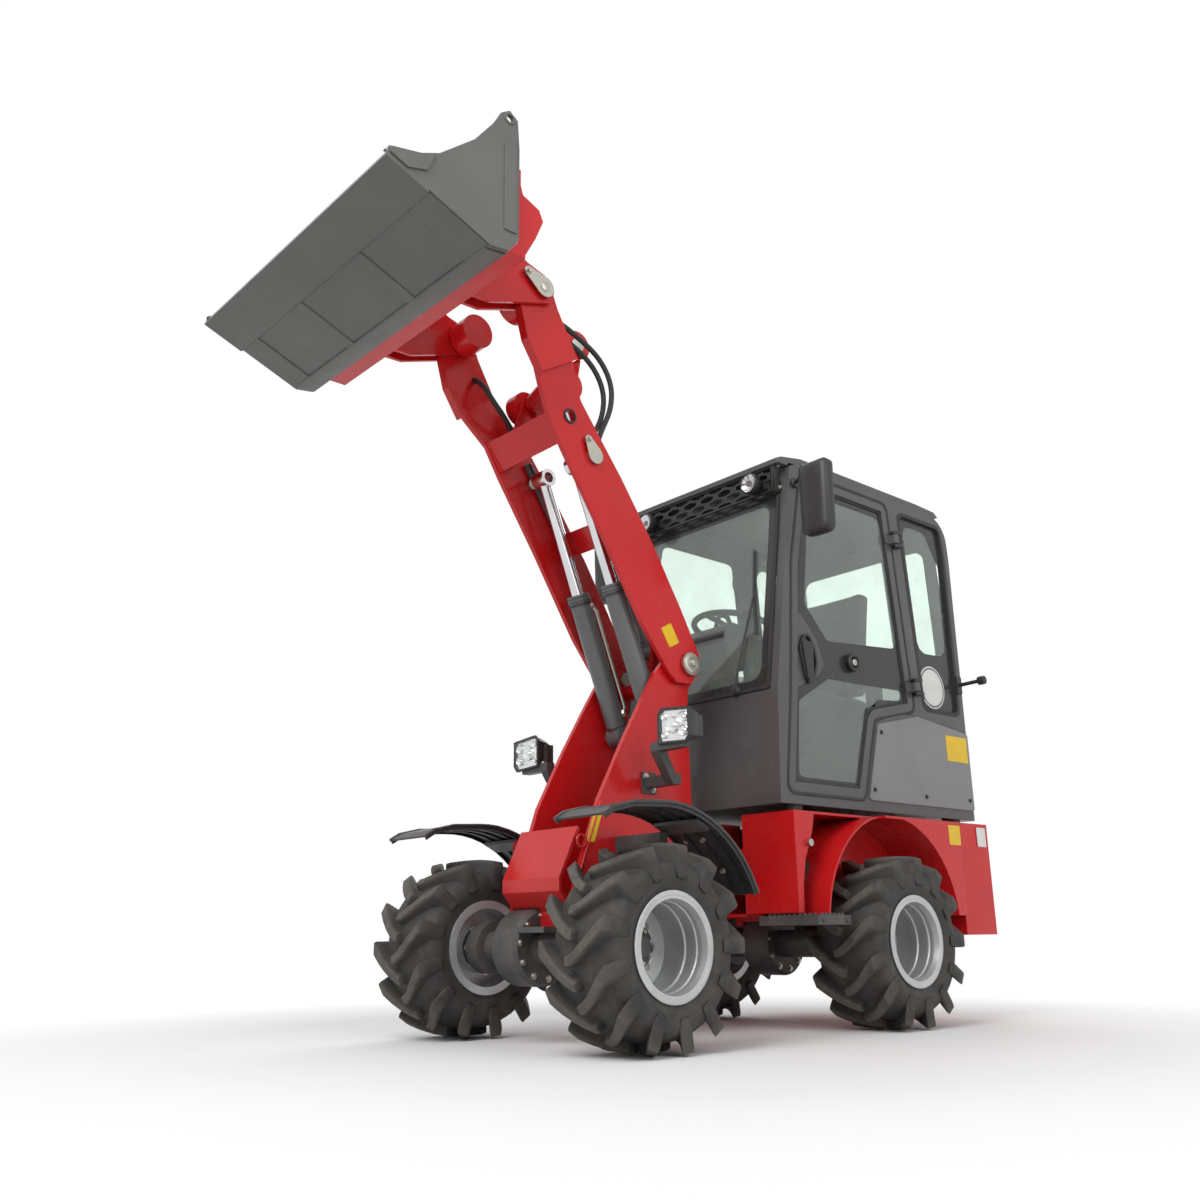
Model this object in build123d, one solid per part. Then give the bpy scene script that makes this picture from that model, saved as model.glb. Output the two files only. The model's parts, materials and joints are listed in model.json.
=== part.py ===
"""Compact articulated wheel loader with cab, boom raised and bucket rolled back.

Millimetres. X points forward, Y to the left, Z up. While building, the origin is on the
ground under the articulation; main() then moves everything over the middle of the footprint.
"""
import math
import os

from build123d import *

# Wheels and axles
WHEELBASE = 1336
TRACK = 1010
TYRE_R = 330
TYRE_W = 305
CARCASS_R = 300
LUGS = 13
RIM_SEAT_R = 152.4
RIM_FLANGE_R = 173
RIM_W = 288
DISC_INSET = 88
STUB_R = 45
STUB_LENGTH = 28
AXLE_TUBE_R = 62
DRUM_R = 137
DRUM_Y = (-160, -15)

# Cab
CAB_HALF_W = 468
CAB_FLOOR_Z = 850
CAB_FLOOR_T = 30
CAB_TOP_Z = 2310
ROOF_T = 42
WALL = 40
GLASS = 6
DOOR_RAIL = 45
SEAL_GAP = 6
HINGE_PIN_R = 8
HINGE_OUT = 22

# Frames
DECK_Z = 822
DECK_HALF_W = 501
BODY_HALF_W = 565
FRAME_SHEET = 12
TOWER_PLATE = 20
ARCH_R = 440
REAR_END_X = -1531
STEER_PIN_R = 25
STEP_Y = 600

# Boom, coupler and bucket
BOOM_INNER_Y = 191
BOOM_PLATE = 20
BOOM_FLARE = 54
BOOM_ARM = 40
EAR = 15
BUCKET_HALF_W = 676
BUCKET_SHEET = 12
EYE_R = 14
LIFT_Y = 105
LIFT_BARREL_R = 42
LIFT_ROD_R = 25
TILT_BARREL_R = 40
TILT_ROD_R = 22
HOSE_R = 11

# Pins and clearances
BOOM_PIN_R = 30
PIN_R = 22
TOW_PIN_R = 16
PIN_PLAY = 0.3
MOVING_GAP = 6

# Pivots in the side view, (x, z)
BOOM_PIVOT = (111, 1408)
COUPLER_PIVOT = (937, 2747)
LIFT_BASE = (205, 1150)
LIFT_HEAD = (604, 2177)
LEVER_PIVOT = (688, 2480)
LEVER_TOP = (589, 2713)
LEVER_CYL = (617, 2589)
TILT_BASE = (100, 1517)
LINK_HEAD = (COUPLER_PIVOT[0] + LEVER_TOP[0] - LEVER_PIVOT[0],
             COUPLER_PIVOT[1] + LEVER_TOP[1] - LEVER_PIVOT[1])
BUCKET_EYE = (1375, 3062)
HITCH_X = 1332

# Derived positions
FRONT_X = WHEELBASE / 2
REAR_X = -WHEELBASE / 2
WHEEL_Y = TRACK / 2
HUB_Y = WHEEL_Y - DISC_INSET
AXLE_END_Y = HUB_Y - MOVING_GAP
BOOM_OUTER_Y = BOOM_INNER_Y + BOOM_PLATE
ARM_INNER_Y = BOOM_INNER_Y + BOOM_FLARE
ARM_OUTER_Y = ARM_INNER_Y + BOOM_ARM
TOWER_OUTER_Y = BOOM_INNER_Y - MOVING_GAP
TOWER_INNER_Y = TOWER_OUTER_Y - TOWER_PLATE
FENDER_R = TYRE_R + 130
ARCH = (REAR_X - 12, TYRE_R + 50)
CAB_INNER_Y = CAB_HALF_W - WALL
CAB_FLOOR_TOP = CAB_FLOOR_Z + CAB_FLOOR_T
CAB_ROOF_Z = CAB_TOP_Z + ROOF_T


# Shape helpers

def box(x0, x1, y0, y1, z0, z1):
    return Pos((x0 + x1) / 2, (y0 + y1) / 2, (z0 + z1) / 2) * Box(x1 - x0, y1 - y0, z1 - z0)


def side_face(outline, y, radius=0):
    """A face in the side view at one value of y."""
    points = [(x, y, z) for x, z in outline]
    if radius:
        return make_face(FilletPolyline(*points, radius=radius, close=True))
    return make_face(Polyline(*points, close=True))


def side(outline, y0, y1, radius=0):
    """A plate cut to an outline in the side view, between two values of y."""
    return extrude(side_face(outline, y0, radius), amount=y1 - y0, dir=(0, 1, 0))


def plan(outline, z0, z1, radius=0):
    """A slab cut to an outline in the plan view, between two values of z."""
    points = [(x, y, z0) for x, y in outline]
    if radius:
        edge = FilletPolyline(*points, radius=radius, close=True)
    else:
        edge = Polyline(*points, close=True)
    return extrude(make_face(edge), amount=z1 - z0, dir=(0, 0, 1))


def bar_y(point, r, y0, y1):
    """A round bar across the machine at a side-view point."""
    return Pos(point[0], (y0 + y1) / 2, point[1]) * Rot(90, 0, 0) * Cylinder(r, y1 - y0)


def bar_z(x, y, r, z0, z1):
    return Pos(x, y, (z0 + z1) / 2) * Cylinder(r, z1 - z0)


def rod(p, q, r):
    """A round bar from one point in space to another."""
    start = Vector(p)
    way = Vector(q) - start
    place = Plane(origin=start, z_dir=way)
    return place * Cylinder(r, way.length, align=(Align.CENTER, Align.CENTER, Align.MIN))


def spin(profile):
    """Turn a profile of (radius, y) points about the Y axis."""
    return revolve(make_face(Polyline(*profile, close=True)), axis=Axis.Y)


def both(shape):
    """The shape and its mirror image on the other side."""
    return shape + mirror(shape, about=Plane.XZ)


def on_side(shape, left):
    return shape if left else mirror(shape, about=Plane.XZ)


def along(p, q, distance):
    """The side-view point this far from p towards q."""
    share = distance / math.dist(p, q)
    return (p[0] + (q[0] - p[0]) * share, p[1] + (q[1] - p[1]) * share)


def at_y(p, y):
    return (p[0], y, p[1])


def around(centre, r, degrees):
    """The side-view point on a circle, counted from forward towards up."""
    angle = math.radians(degrees)
    return (centre[0] + r * math.cos(angle), centre[1] + r * math.sin(angle))


def clip(outline, measure, level, above):
    """The part of an outline on one side of a straight line, by a measure that is linear."""
    sign = 1 if above else -1
    kept = []
    for p, q in zip(outline, outline[1:] + outline[:1]):
        a = sign * (measure(p) - level)
        b = sign * (measure(q) - level)
        if a >= 0:
            kept.append(p)
        if a * b < 0:
            kept.append(along(p, q, math.dist(p, q) * a / (a - b)))
    return kept


def band(path, sheet):
    """The outline of a sheet that follows a path, with its thickness below the path."""
    under = []
    for i, (x, z) in enumerate(path):
        before = path[max(i - 1, 0)]
        after = path[min(i + 1, len(path) - 1)]
        run = math.dist(before, after)
        under.append((x + sheet * (after[1] - before[1]) / run, z - sheet * (after[0] - before[0]) / run))
    return path + under[::-1]


# Wheels

def ring_spot(r, angle, y):
    return (r * math.cos(angle), y, r * math.sin(angle))


def faceted(faces):
    """A solid from flat faces given as lists of corners."""
    return Solid(Shell([make_face(Polyline(*corners, close=True)) for corners in faces]))


def carcass():
    """The tyre under its lugs, turned in flat steps."""
    half = TYRE_W / 2
    bead_y = RIM_W / 2 - 14
    right = [(RIM_SEAT_R + 2, bead_y), (RIM_FLANGE_R + 8, bead_y + 4), (250, half), (278, half - 6), (CARCASS_R - 4, half - 40)]
    profile = [(r, -y) for r, y in right] + [(CARCASS_R, 0)] + right[::-1]
    step = math.pi / LUGS
    faces = []
    for i in range(2 * LUGS):
        a = i * step
        b = a + step
        for (r0, y0), (r1, y1) in zip(profile, profile[1:] + profile[:1]):
            faces.append([ring_spot(r0, a, y0), ring_spot(r1, a, y1), ring_spot(r1, b, y1), ring_spot(r0, b, y0)])
    return faceted(faces)


def lug(turn, sign):
    """One tread bar, from the middle of the tread slanting back over the shoulder."""
    half = TYRE_W / 2
    stations = [
        (-14, CARCASS_R - 22, TYRE_R, 0.0, 15),
        (70, CARCASS_R - 24, TYRE_R - 1, 0.15, 18),
        (half - 18, CARCASS_R - 36, TYRE_R - 6, 0.33, 21),
        (half + 3, CARCASS_R - 62, CARCASS_R - 14, 0.37, 20),
    ]
    rows = []
    for y, low, high, lead, width in stations:
        row = []
        for r, edge in ((low, -width - 7), (low, width + 7), (high, width), (high, -width)):
            row.append(ring_spot(r, turn + lead + edge / TYRE_R, sign * y))
        rows.append(row)
    faces = [rows[0][:3], [rows[0][0]] + rows[0][2:], rows[-1][:3], [rows[-1][0]] + rows[-1][2:]]
    for near, far in zip(rows, rows[1:]):
        for i in range(4):
            j = (i + 1) % 4
            faces.append([near[i], near[j], far[j]])
            faces.append([near[i], far[j], far[i]])
    return faceted(faces)


def tyre():
    body = carcass()
    pitch = 2 * math.pi / LUGS
    start = -math.pi / 2
    bars = []
    for i in range(LUGS):
        bars.append(lug(start + i * pitch, 1))
        bars.append(lug(start + (i + 0.5) * pitch, -1))
    return body.fuse(*bars)


def rim():
    """Deep-dished rim with its disc and hub; the outer side faces +Y."""
    half = RIM_W / 2
    barrel_in = RIM_SEAT_R - 9
    face = -DISC_INSET
    shell = spin([
        (barrel_in, -half), (RIM_FLANGE_R, -half), (RIM_FLANGE_R, -half + 8), (RIM_SEAT_R, -half + 14),
        (RIM_SEAT_R, half - 14), (RIM_FLANGE_R, half - 8), (RIM_FLANGE_R, half), (barrel_in + 6, half),
        (barrel_in, half - 22),
    ])
    disc = spin([
        (0, face), (84, face), (92, face + 10), (barrel_in + 1, face + 18), (barrel_in + 1, face + 34),
        (98, face + 26), (78, face + 20), (74, face + 44), (58, face + 52), (0, face + 52),
    ])
    bore = bar_y((0, 0), STUB_R + PIN_PLAY, face - 1, face + STUB_LENGTH)
    return shell + disc - bore


def axle(x):
    """Axle tube with its drive drum, end housings and hub stubs."""
    centre = (x, TYRE_R)
    tube = bar_y(centre, AXLE_TUBE_R, -AXLE_END_Y + 100, AXLE_END_Y - 100)
    drum = bar_y(centre, DRUM_R, *DRUM_Y)
    drum = chamfer(drum.edges().filter_by(GeomType.CIRCLE), 14)
    end = bar_y(centre, 96, AXLE_END_Y - 110, AXLE_END_Y - 40) + bar_y(centre, 80, AXLE_END_Y - 40, AXLE_END_Y)
    stub = bar_y(centre, STUB_R, AXLE_END_Y, HUB_Y + STUB_LENGTH - 4)
    return tube + drum + both(end + stub)


# Front frame

TOWER = [
    (701, 504), (677, 590), (605, 767), (579, 840), (450, 1072), (324, 1279), (273, 1358), (185, 1455),
    (111, 1490), (52, 1462), (52, 1380), (91, 1309), (99, 1247), (95, 900), (80, 500), (110, 440), (690, 440),
]
FRONT_FLOOR_Z = 440
TIE_DOWN = (660, 692)
KNUCKLES = (470, 735)
KNUCKLE_T = 30


def front_chassis():
    plates = both(side(TOWER, TOWER_INNER_Y, TOWER_OUTER_Y, 12))
    floor = box(110, 690, -TOWER_INNER_Y, TOWER_INNER_Y, FRONT_FLOOR_Z, FRONT_FLOOR_Z + 18)
    nose_path = [(650, 740), (700, 634), (735, 562), (735, 527), (676, 458)]
    nose = side(band(nose_path, -14), -TOWER_INNER_Y, TOWER_INNER_Y)
    back = box(95, 110, -TOWER_INNER_Y, TOWER_INNER_Y, FRONT_FLOOR_Z, 870)
    frame = plates + floor + nose + back
    for z in KNUCKLES:
        frame += box(0, 110, -70, 70, z, z + KNUCKLE_T) + bar_z(0, 0, 70, z, z + KNUCKLE_T)
    frame += box(FRONT_X - 150, FRONT_X + 22, -150, 150, TYRE_R + 70, FRONT_FLOOR_Z)
    ear = side([(60, 1350), (180, 1350), (160, 1540), (100, 1565), (50, 1530)], 48, 66, 15)
    frame += both(ear) + bar_y((130, 1340), 34, -TOWER_INNER_Y, TOWER_INNER_Y)
    frame -= bar_z(0, 0, STEER_PIN_R + PIN_PLAY, 400, 900)
    frame -= bar_y(BOOM_PIVOT, BOOM_PIN_R, -300, 300)
    frame -= bar_y(LIFT_BASE, PIN_R, -300, 300)
    frame -= bar_y(TILT_BASE, PIN_R + PIN_PLAY, -100, 100)
    frame -= bar_y(TIE_DOWN, 17, -300, 300)
    frame -= bar_y((FRONT_X, TYRE_R), DRUM_R + 3, DRUM_Y[0] - 3, DRUM_Y[1] + 3)
    return frame


def front_axle():
    return axle(FRONT_X) + box(FRONT_X - 140, FRONT_X + 120, -130, 130, TYRE_R + 50, TYRE_R + 70)


def front_pins():
    """Boom pins with round outer heads, and the pin at the foot of the lift cylinders."""
    pin = bar_y(BOOM_PIVOT, BOOM_PIN_R, TOWER_INNER_Y - 10, BOOM_OUTER_Y + 4)
    pin += bar_y(BOOM_PIVOT, 46, BOOM_OUTER_Y + 4, BOOM_OUTER_Y + 20)
    return both(pin) + bar_y(LIFT_BASE, PIN_R, -TOWER_OUTER_Y, TOWER_OUTER_Y)


FENDER_Y = (WHEEL_Y - 118, WHEEL_Y + 128)
FENDER_SHEET = 7
FENDER_LIP = 18


def fender_path():
    """The mudguard's top line: an arc over the tyre that runs out flat in front."""
    hub = (FRONT_X, TYRE_R)
    arc = [around(hub, FENDER_R, a) for a in range(158, 83, -6)]
    return arc + [(FRONT_X + 150, 783), (FRONT_X + 240, 762), (FRONT_X + 280, 738)]


def fender():
    """Front mudguard, left: a ribbed sheet over the tyre with turned-down edges."""
    path = fender_path()
    sheet = side(band(path, FENDER_SHEET), *FENDER_Y)
    for y in (FENDER_Y[0], FENDER_Y[1] - FENDER_SHEET):
        sheet += side(band(path, FENDER_LIP), y, y + FENDER_SHEET)
    for i in (1, 2, 3):
        y = FENDER_Y[0] + i * (FENDER_Y[1] - FENDER_Y[0]) / 4
        sheet += side(band(path[:-2], FENDER_SHEET + 6), y - 10, y + 10)
    return sheet


def fender_arm():
    """Bracket that carries the left mudguard from the tower plate."""
    hub = (FRONT_X, TYRE_R)
    reach = FENDER_R - FENDER_SHEET - 8
    foot = around(hub, reach - 45, 118)
    arm = box(foot[0] - 20, foot[0] + 20, TOWER_OUTER_Y, FENDER_Y[0] + 30, foot[1] - 30, foot[1] + 30)
    saddle = Pos(FRONT_X, 0, TYRE_R) * spin([(reach - 12, FENDER_Y[0] + 12), (reach, FENDER_Y[0] + 12),
                                             (reach, FENDER_Y[1] - 20), (reach - 12, FENDER_Y[1] - 20)])
    near = box(foot[0] - 28, foot[0] + 28, 0, 700, TYRE_R, TYRE_R + reach + 10)
    post = box(foot[0] - 20, foot[0] + 20, FENDER_Y[0] + 12, FENDER_Y[0] + 30, foot[1] - 30, foot[1] + 30)
    return arm + post + (saddle & near)


LAMP = (330, 424)
LAMP_Y = (365, 505)
LAMP_Z = (1050, 1145)


def lamp_stand():
    """Bracket and finned housing of the left headlamp."""
    plate = box(290, 362, TOWER_OUTER_Y, TOWER_OUTER_Y + 8, 880, 960)
    arm = box(310, 350, TOWER_OUTER_Y + 8, 345, 900, 940)
    post = side([(310, 900), (350, 900), (425, 1016), (425, 1050), (385, 1050), (385, 1026)], 305, 345)
    top = box(385, 425, 345, 470, 1016, 1050)
    housing = box(LAMP[0] + 40, LAMP[1], *LAMP_Y, *LAMP_Z)
    housing = fillet(housing.edges().filter_by(Axis.X), 16)
    stand = plate + arm + post + top + housing
    y = LAMP_Y[0] + 16
    while y < LAMP_Y[1] - 12:
        stand += box(LAMP[0], LAMP[0] + 40, y, y + 5, LAMP_Z[0] + 10, LAMP_Z[1] - 8)
        y += 14
    return stand


def headlamp_lens():
    lens = box(LAMP[1], LAMP[1] + 10, LAMP_Y[0] + 6, LAMP_Y[1] - 6, LAMP_Z[0] + 6, LAMP_Z[1] - 6)
    return fillet(lens.edges().filter_by(Axis.X), 13)


def safety_strut():
    return box(36, 60, 48, 72, 815, 1050) + box(60, 95, 48, 72, 815, 845)


# Rear frame

PANEL_X = -138
SPINE_Y = 300
REAR_FLOOR_Z = 430
BODY_BACK_X = -1180
YOKES = (434, 506, 699, 771)


def rear_chassis():
    panel_in = PANEL_X - FRAME_SHEET
    floor_top = REAR_FLOOR_Z + FRAME_SHEET
    body = both(box(BODY_BACK_X, panel_in, SPINE_Y, SPINE_Y + FRAME_SHEET, REAR_FLOOR_Z, DECK_Z))
    body += box(BODY_BACK_X, panel_in, -SPINE_Y, SPINE_Y, REAR_FLOOR_Z, floor_top)
    body += both(box(panel_in, PANEL_X, 235, DECK_HALF_W, 440, DECK_Z))
    body += box(panel_in, PANEL_X, -SPINE_Y, SPINE_Y, 560, 690)
    body += both(box(BODY_BACK_X, panel_in, SPINE_Y + FRAME_SHEET, DECK_HALF_W, DECK_Z - 10, DECK_Z))
    body += both(box(BODY_BACK_X, REAR_X + 28, DECK_HALF_W, BODY_HALF_W, DECK_Z - 10, DECK_Z))
    flange = side([(panel_in, DECK_Z), (panel_in - 112, DECK_Z), (panel_in - 92, 740), (panel_in - 44, 640),
                   (panel_in - 24, 540), (panel_in - 20, 440), (panel_in, 440)], DECK_HALF_W - 8, DECK_HALF_W)
    body += both(flange)
    liner = Pos(ARCH[0], 0, ARCH[1]) * spin([(ARCH_R, SPINE_Y + FRAME_SHEET), (ARCH_R + 8, SPINE_Y + FRAME_SHEET),
                                             (ARCH_R + 8, BODY_HALF_W), (ARCH_R, BODY_HALF_W)])
    liner = liner & box(ARCH[0] - 600, ARCH[0] + 600, SPINE_Y, 600, REAR_FLOOR_Z, DECK_Z - 10)
    body += both(liner)
    flank = box(BODY_BACK_X, ARCH[0], BODY_HALF_W - 8, BODY_HALF_W, REAR_FLOOR_Z, DECK_Z - 10)
    flank -= bar_y(ARCH, ARCH_R + 1, 500, 600)
    body += both(flank)
    for z in YOKES:
        body += box(panel_in, 0, -80, 80, z, z + KNUCKLE_T) + bar_z(0, 0, 80, z, z + KNUCKLE_T)
    body += both(box(panel_in - 150, panel_in, 66, 80, REAR_FLOOR_Z, 801))
    body += box(REAR_X - 110, REAR_X + 110, -200, 200, TYRE_R + 70, REAR_FLOOR_Z)
    body -= bar_y((REAR_X, TYRE_R), DRUM_R + 3, DRUM_Y[0] - 3, DRUM_Y[1] + 3)
    return body - bar_z(0, 0, STEER_PIN_R, 400, 900)


JAW_Z = (640, 715)
TOW_X = REAR_END_X + 36
TOW_FOOT_Z = 560


def counterweight():
    """Cast rear weight with chamfered corners and a tow jaw."""
    half = [(BODY_BACK_X, BODY_HALF_W - 10), (-1400, BODY_HALF_W), (REAR_END_X, 430)]
    block = plan([(x, -y) for x, y in half] + half[::-1], 350, DECK_Z)
    block = chamfer(block.faces().sort_by(Axis.Z)[0].edges().sort_by(Axis.X)[0], 70)
    block -= bar_y(ARCH, ARCH_R + 8, -700, 700)
    block -= box(REAR_END_X - 10, REAR_END_X + 110, -60, 60, *JAW_Z)
    return block - bar_z(TOW_X, 0, TOW_PIN_R, TOW_FOOT_Z, DECK_Z + 10)


def tail_lamps():
    lamp = box(REAR_END_X - 14, REAR_END_X, 280, 400, 700, 780)
    lamp = fillet(lamp.edges().filter_by(Axis.X), 14)
    return both(lamp)


def battery_block():
    block = box(-1120, -330, -290, 290, REAR_FLOOR_Z + FRAME_SHEET, 790)
    return block - bar_y((REAR_X, TYRE_R), DRUM_R + 8, DRUM_Y[0] - 8, DRUM_Y[1] + 8)


def articulation_pins():
    return bar_z(0, 0, STEER_PIN_R, 690, 812) + bar_z(0, 0, STEER_PIN_R, 424, 545)


def rear_axle():
    return axle(REAR_X) + box(REAR_X - 100, REAR_X + 100, -120, 120, TYRE_R + 50, TYRE_R + 70)


def steps():
    """Tread plates hung below the doors, clear of the rear tyres."""
    back = max(-318, REAR_X + TYRE_R + 15)
    tread = box(back, -125, SPINE_Y + FRAME_SHEET, STEP_Y, 395, REAR_FLOOR_Z)
    tread -= box(back + 12, -137, SPINE_Y + 60, STEP_Y - 12, 385, REAR_FLOOR_Z - 10)
    hanger = box(-222, -160, SPINE_Y + FRAME_SHEET, SPINE_Y + FRAME_SHEET + 16, REAR_FLOOR_Z, 500)
    return both(tread + hanger)


# Cab

CAB_SIDE = [
    (-108, CAB_FLOOR_TOP), (-128, 1305), (-288, CAB_TOP_Z - 18), (-330, CAB_TOP_Z), (-1460, CAB_TOP_Z),
    (-1472, 2100), (-1472, CAB_FLOOR_TOP),
]
CAB_BACK_X = -1472
DOOR = [
    (-150, CAB_FLOOR_TOP + 12), (-205, 1301), (-256, 1859), (-352, CAB_TOP_Z - 28), (-978, CAB_TOP_Z - 28),
    (-1068, 1311), (-760, 1241), (-652, CAB_FLOOR_TOP + 12),
]
DOOR_BACK = (DOOR[5], DOOR[4])
QUARTER = [
    (-1062, CAB_TOP_Z - 48), (-1142, 1330), (-1432, 1330), (-1430, 2100), (-1412, CAB_TOP_Z - 48),
]
CORNER_R = 40


def opening(outline, grow, y0, y1):
    """A cutter through a side wall: a rounded outline, grown by an amount."""
    face = side_face(outline, 0, CORNER_R)
    if grow:
        face = offset(face, amount=grow)
    return Pos(0, y0, 0) * extrude(face, amount=y1 - y0, dir=(0, 1, 0))


def cab_frame():
    face = side_face(CAB_SIDE, CAB_INNER_Y)
    top_back = [v for v in face.vertices() if v.X < -1400 and v.Z > CAB_TOP_Z - 1]
    wall = extrude(fillet(top_back, 130), amount=WALL, dir=(0, 1, 0))
    wall -= opening(DOOR, SEAL_GAP, CAB_INNER_Y - 10, CAB_HALF_W + 10)
    wall -= opening(QUARTER, 0, CAB_INNER_Y - 10, CAB_HALF_W + 10)
    front = [(-266, CAB_TOP_Z - 80), (-300, CAB_TOP_Z - 80), (-345, CAB_TOP_Z), (-330, CAB_TOP_Z), (-288, CAB_TOP_Z - 18)]
    header = side(front, -CAB_INNER_Y, CAB_INNER_Y)
    back = box(-1420, -1370, -CAB_INNER_Y, CAB_INNER_Y, CAB_TOP_Z - 60, CAB_TOP_Z)
    sill = box(CAB_BACK_X, CAB_BACK_X + 32, -CAB_INNER_Y, CAB_INNER_Y, CAB_FLOOR_TOP, 1320)
    return both(wall) + header + back + sill


def cab_floor():
    return box(CAB_BACK_X, CAB_SIDE[0][0], -CAB_HALF_W, CAB_HALF_W, CAB_FLOOR_Z, CAB_FLOOR_TOP)


def cab_front_panel():
    low, high = CAB_SIDE[0], CAB_SIDE[1]
    return side([low, high, (high[0] - 20, high[1]), (low[0] - 20, low[1])], -CAB_INNER_Y, CAB_INNER_Y)


def cab_windows():
    """Windscreen, rear window and the two fixed side panes."""
    low = (CAB_SIDE[1][0] - 3, CAB_SIDE[1][1])
    high = (-276, CAB_TOP_Z - 80)
    screen = side([low, high, (high[0] - GLASS, high[1]), (low[0] - GLASS, low[1])], -CAB_INNER_Y, CAB_INNER_Y)
    bottom = (CAB_BACK_X + 12, 1320)
    top = (-1400, CAB_TOP_Z - 60)
    rear = side([bottom, top, (top[0] + GLASS, top[1]), (bottom[0] + GLASS, bottom[1])], -CAB_INNER_Y, CAB_INNER_Y)
    pane = opening(QUARTER, 0, CAB_HALF_W - 20, CAB_HALF_W - 20 + GLASS)
    return screen + rear + both(pane)


def cab_roof():
    lip_z = CAB_TOP_Z - 14
    outline = [(-222, lip_z), (-286, lip_z), (-298, CAB_TOP_Z), (-1400, CAB_TOP_Z), (-1432, CAB_TOP_Z + 14),
               (-1400, CAB_ROOF_Z - 6), (-1250, CAB_ROOF_Z), (-380, CAB_ROOF_Z), (-250, CAB_ROOF_Z - 22), (-222, lip_z + 22)]
    roof = side(outline, -CAB_HALF_W + 10, CAB_HALF_W - 10)
    return fillet(roof.faces().sort_by(Axis.Y)[0].edges() + roof.faces().sort_by(Axis.Y)[-1].edges(), 5)


def roof_visor():
    return box(-240, -230, -CAB_INNER_Y + 10, CAB_INNER_Y - 10, CAB_TOP_Z - 130, CAB_TOP_Z - 14)


def work_lamps():
    lamp = rod((-230, 324, CAB_TOP_Z - 82), (-176, 324, CAB_TOP_Z - 82), 46)
    return both(chamfer(lamp.edges().filter_by(GeomType.CIRCLE), 6))


def side_panels():
    foot = CAB_FLOOR_TOP + 15
    panel = side([(-672, foot), (-775, 1225), (-1072, 1290), (-1472, 1248), (-1472, foot)], CAB_HALF_W, CAB_HALF_W + 6, 12)
    return both(panel)


def cab_mounts():
    y = CAB_HALF_W - 48
    return both(bar_z(-230, y, 40, DECK_Z, CAB_FLOOR_Z) + bar_z(-1350, y, 40, DECK_Z, CAB_FLOOR_Z))


def hinge_places():
    """Frames on the left door's hinge line: local Z along the line, local Y outwards."""
    low, high = DOOR_BACK
    way = Vector(high[0] - low[0], 0, high[1] - low[1])
    across = Vector(way.Z, 0, -way.X)
    for distance in (110, 800):
        x, z = along(low, high, distance)
        origin = Vector(x, CAB_HALF_W + HINGE_OUT, z) - across.normalized() * SEAL_GAP
        yield Plane(origin=origin, x_dir=across, z_dir=way)


def door_hinges():
    """Pins in cab-side lugs, two for each door."""
    group = None
    for place in hinge_places():
        hinge = Cylinder(HINGE_PIN_R, 78)
        for z in (-31, 31):
            hinge += Pos(0, 0, z) * Cylinder(12, 16)
            hinge += Pos(-19, (12 - HINGE_OUT) / 2, z) * Box(36, HINGE_OUT + 12, 16)
        pair = both(place * hinge)
        group = pair if group is None else group + pair
    return group


def door(left):
    """Door frame with the knuckles that ride on the hinge pins."""
    frame = opening(DOOR, 0, CAB_INNER_Y, CAB_HALF_W)
    frame -= opening(DOOR, -DOOR_RAIL, CAB_INNER_Y - 10, CAB_HALF_W + 10)
    for place in hinge_places():
        knuckle = Cylinder(16, 40) + Pos(12, -HINGE_OUT / 2, 0) * Box(16, HINGE_OUT, 40)
        knuckle += Pos(34, 4 - HINGE_OUT, 0) * Box(44, 8, 40)
        frame += place * knuckle
        frame -= place * Cylinder(HINGE_PIN_R + PIN_PLAY, 60)
    return on_side(frame, left)


def door_glass(left):
    return on_side(opening(DOOR, -DOOR_RAIL, CAB_HALF_W - 12 - GLASS, CAB_HALF_W - 12), left)


def door_handle(left):
    """Grip and round lock on the outside of the glass."""
    grip = side([(-282, 1520), (-352, 1520), (-345, 1370), (-310, 1345)], CAB_HALF_W - 12, CAB_HALF_W + 14, 14)
    lock = bar_y((-627, 1473), 34, CAB_HALF_W - 12, CAB_HALF_W + 10)
    return on_side(grip + lock, left)


def mirrors():
    """Driving mirrors on arms from the front pillars."""
    root = (-308, CAB_TOP_Z - 95)
    foot = bar_y(root, 14, CAB_HALF_W, CAB_HALF_W + 14)
    arm = rod(at_y(root, CAB_HALF_W + 8), (-226, CAB_HALF_W + 150, root[1]), 8)
    head = box(-245, -207, CAB_HALF_W + 107, CAB_HALF_W + 245, 1925, root[1] + 15)
    head = fillet(head.edges().filter_by(Axis.X), 22)
    return both(foot + arm + head)


SEAT_Z = 1300


def seat_base():
    return box(-1080, -680, -200, 200, CAB_FLOOR_TOP, SEAT_Z) - box(-1060, -660, -180, 180, CAB_FLOOR_TOP + 60, SEAT_Z - 120)


def seat_pads():
    """Cushion and backrest."""
    cushion = box(-1100, -640, -235, 235, SEAT_Z, SEAT_Z + 110)
    cushion = fillet(cushion.edges().filter_by(Axis.Z), 40)
    foot = SEAT_Z + 110.3
    back = side([(-1085, foot), (-1000, foot), (-1090, foot + 540), (-1175, foot + 540)], -225, 225, 25)
    return cushion + back


def steering_column():
    """Column and steering wheel."""
    foot = Vector(-235, 0, CAB_FLOOR_TOP)
    top = Vector(-400, 0, 1660)
    column = rod(foot - (top - foot) * 0.1, top, 42)
    column -= box(-400, -100, -100, 100, CAB_FLOOR_TOP - 200, CAB_FLOOR_TOP)
    place = Plane(origin=top, z_dir=top - foot)
    wheel = Pos(0, 0, 25) * Torus(175, 14)
    wheel += Cylinder(40, 34, align=(Align.CENTER, Align.CENTER, Align.MIN))
    wheel += Pos(0, 0, 22) * Box(340, 26, 12)
    return column + place * wheel


# Boom, coupler and bucket

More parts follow.
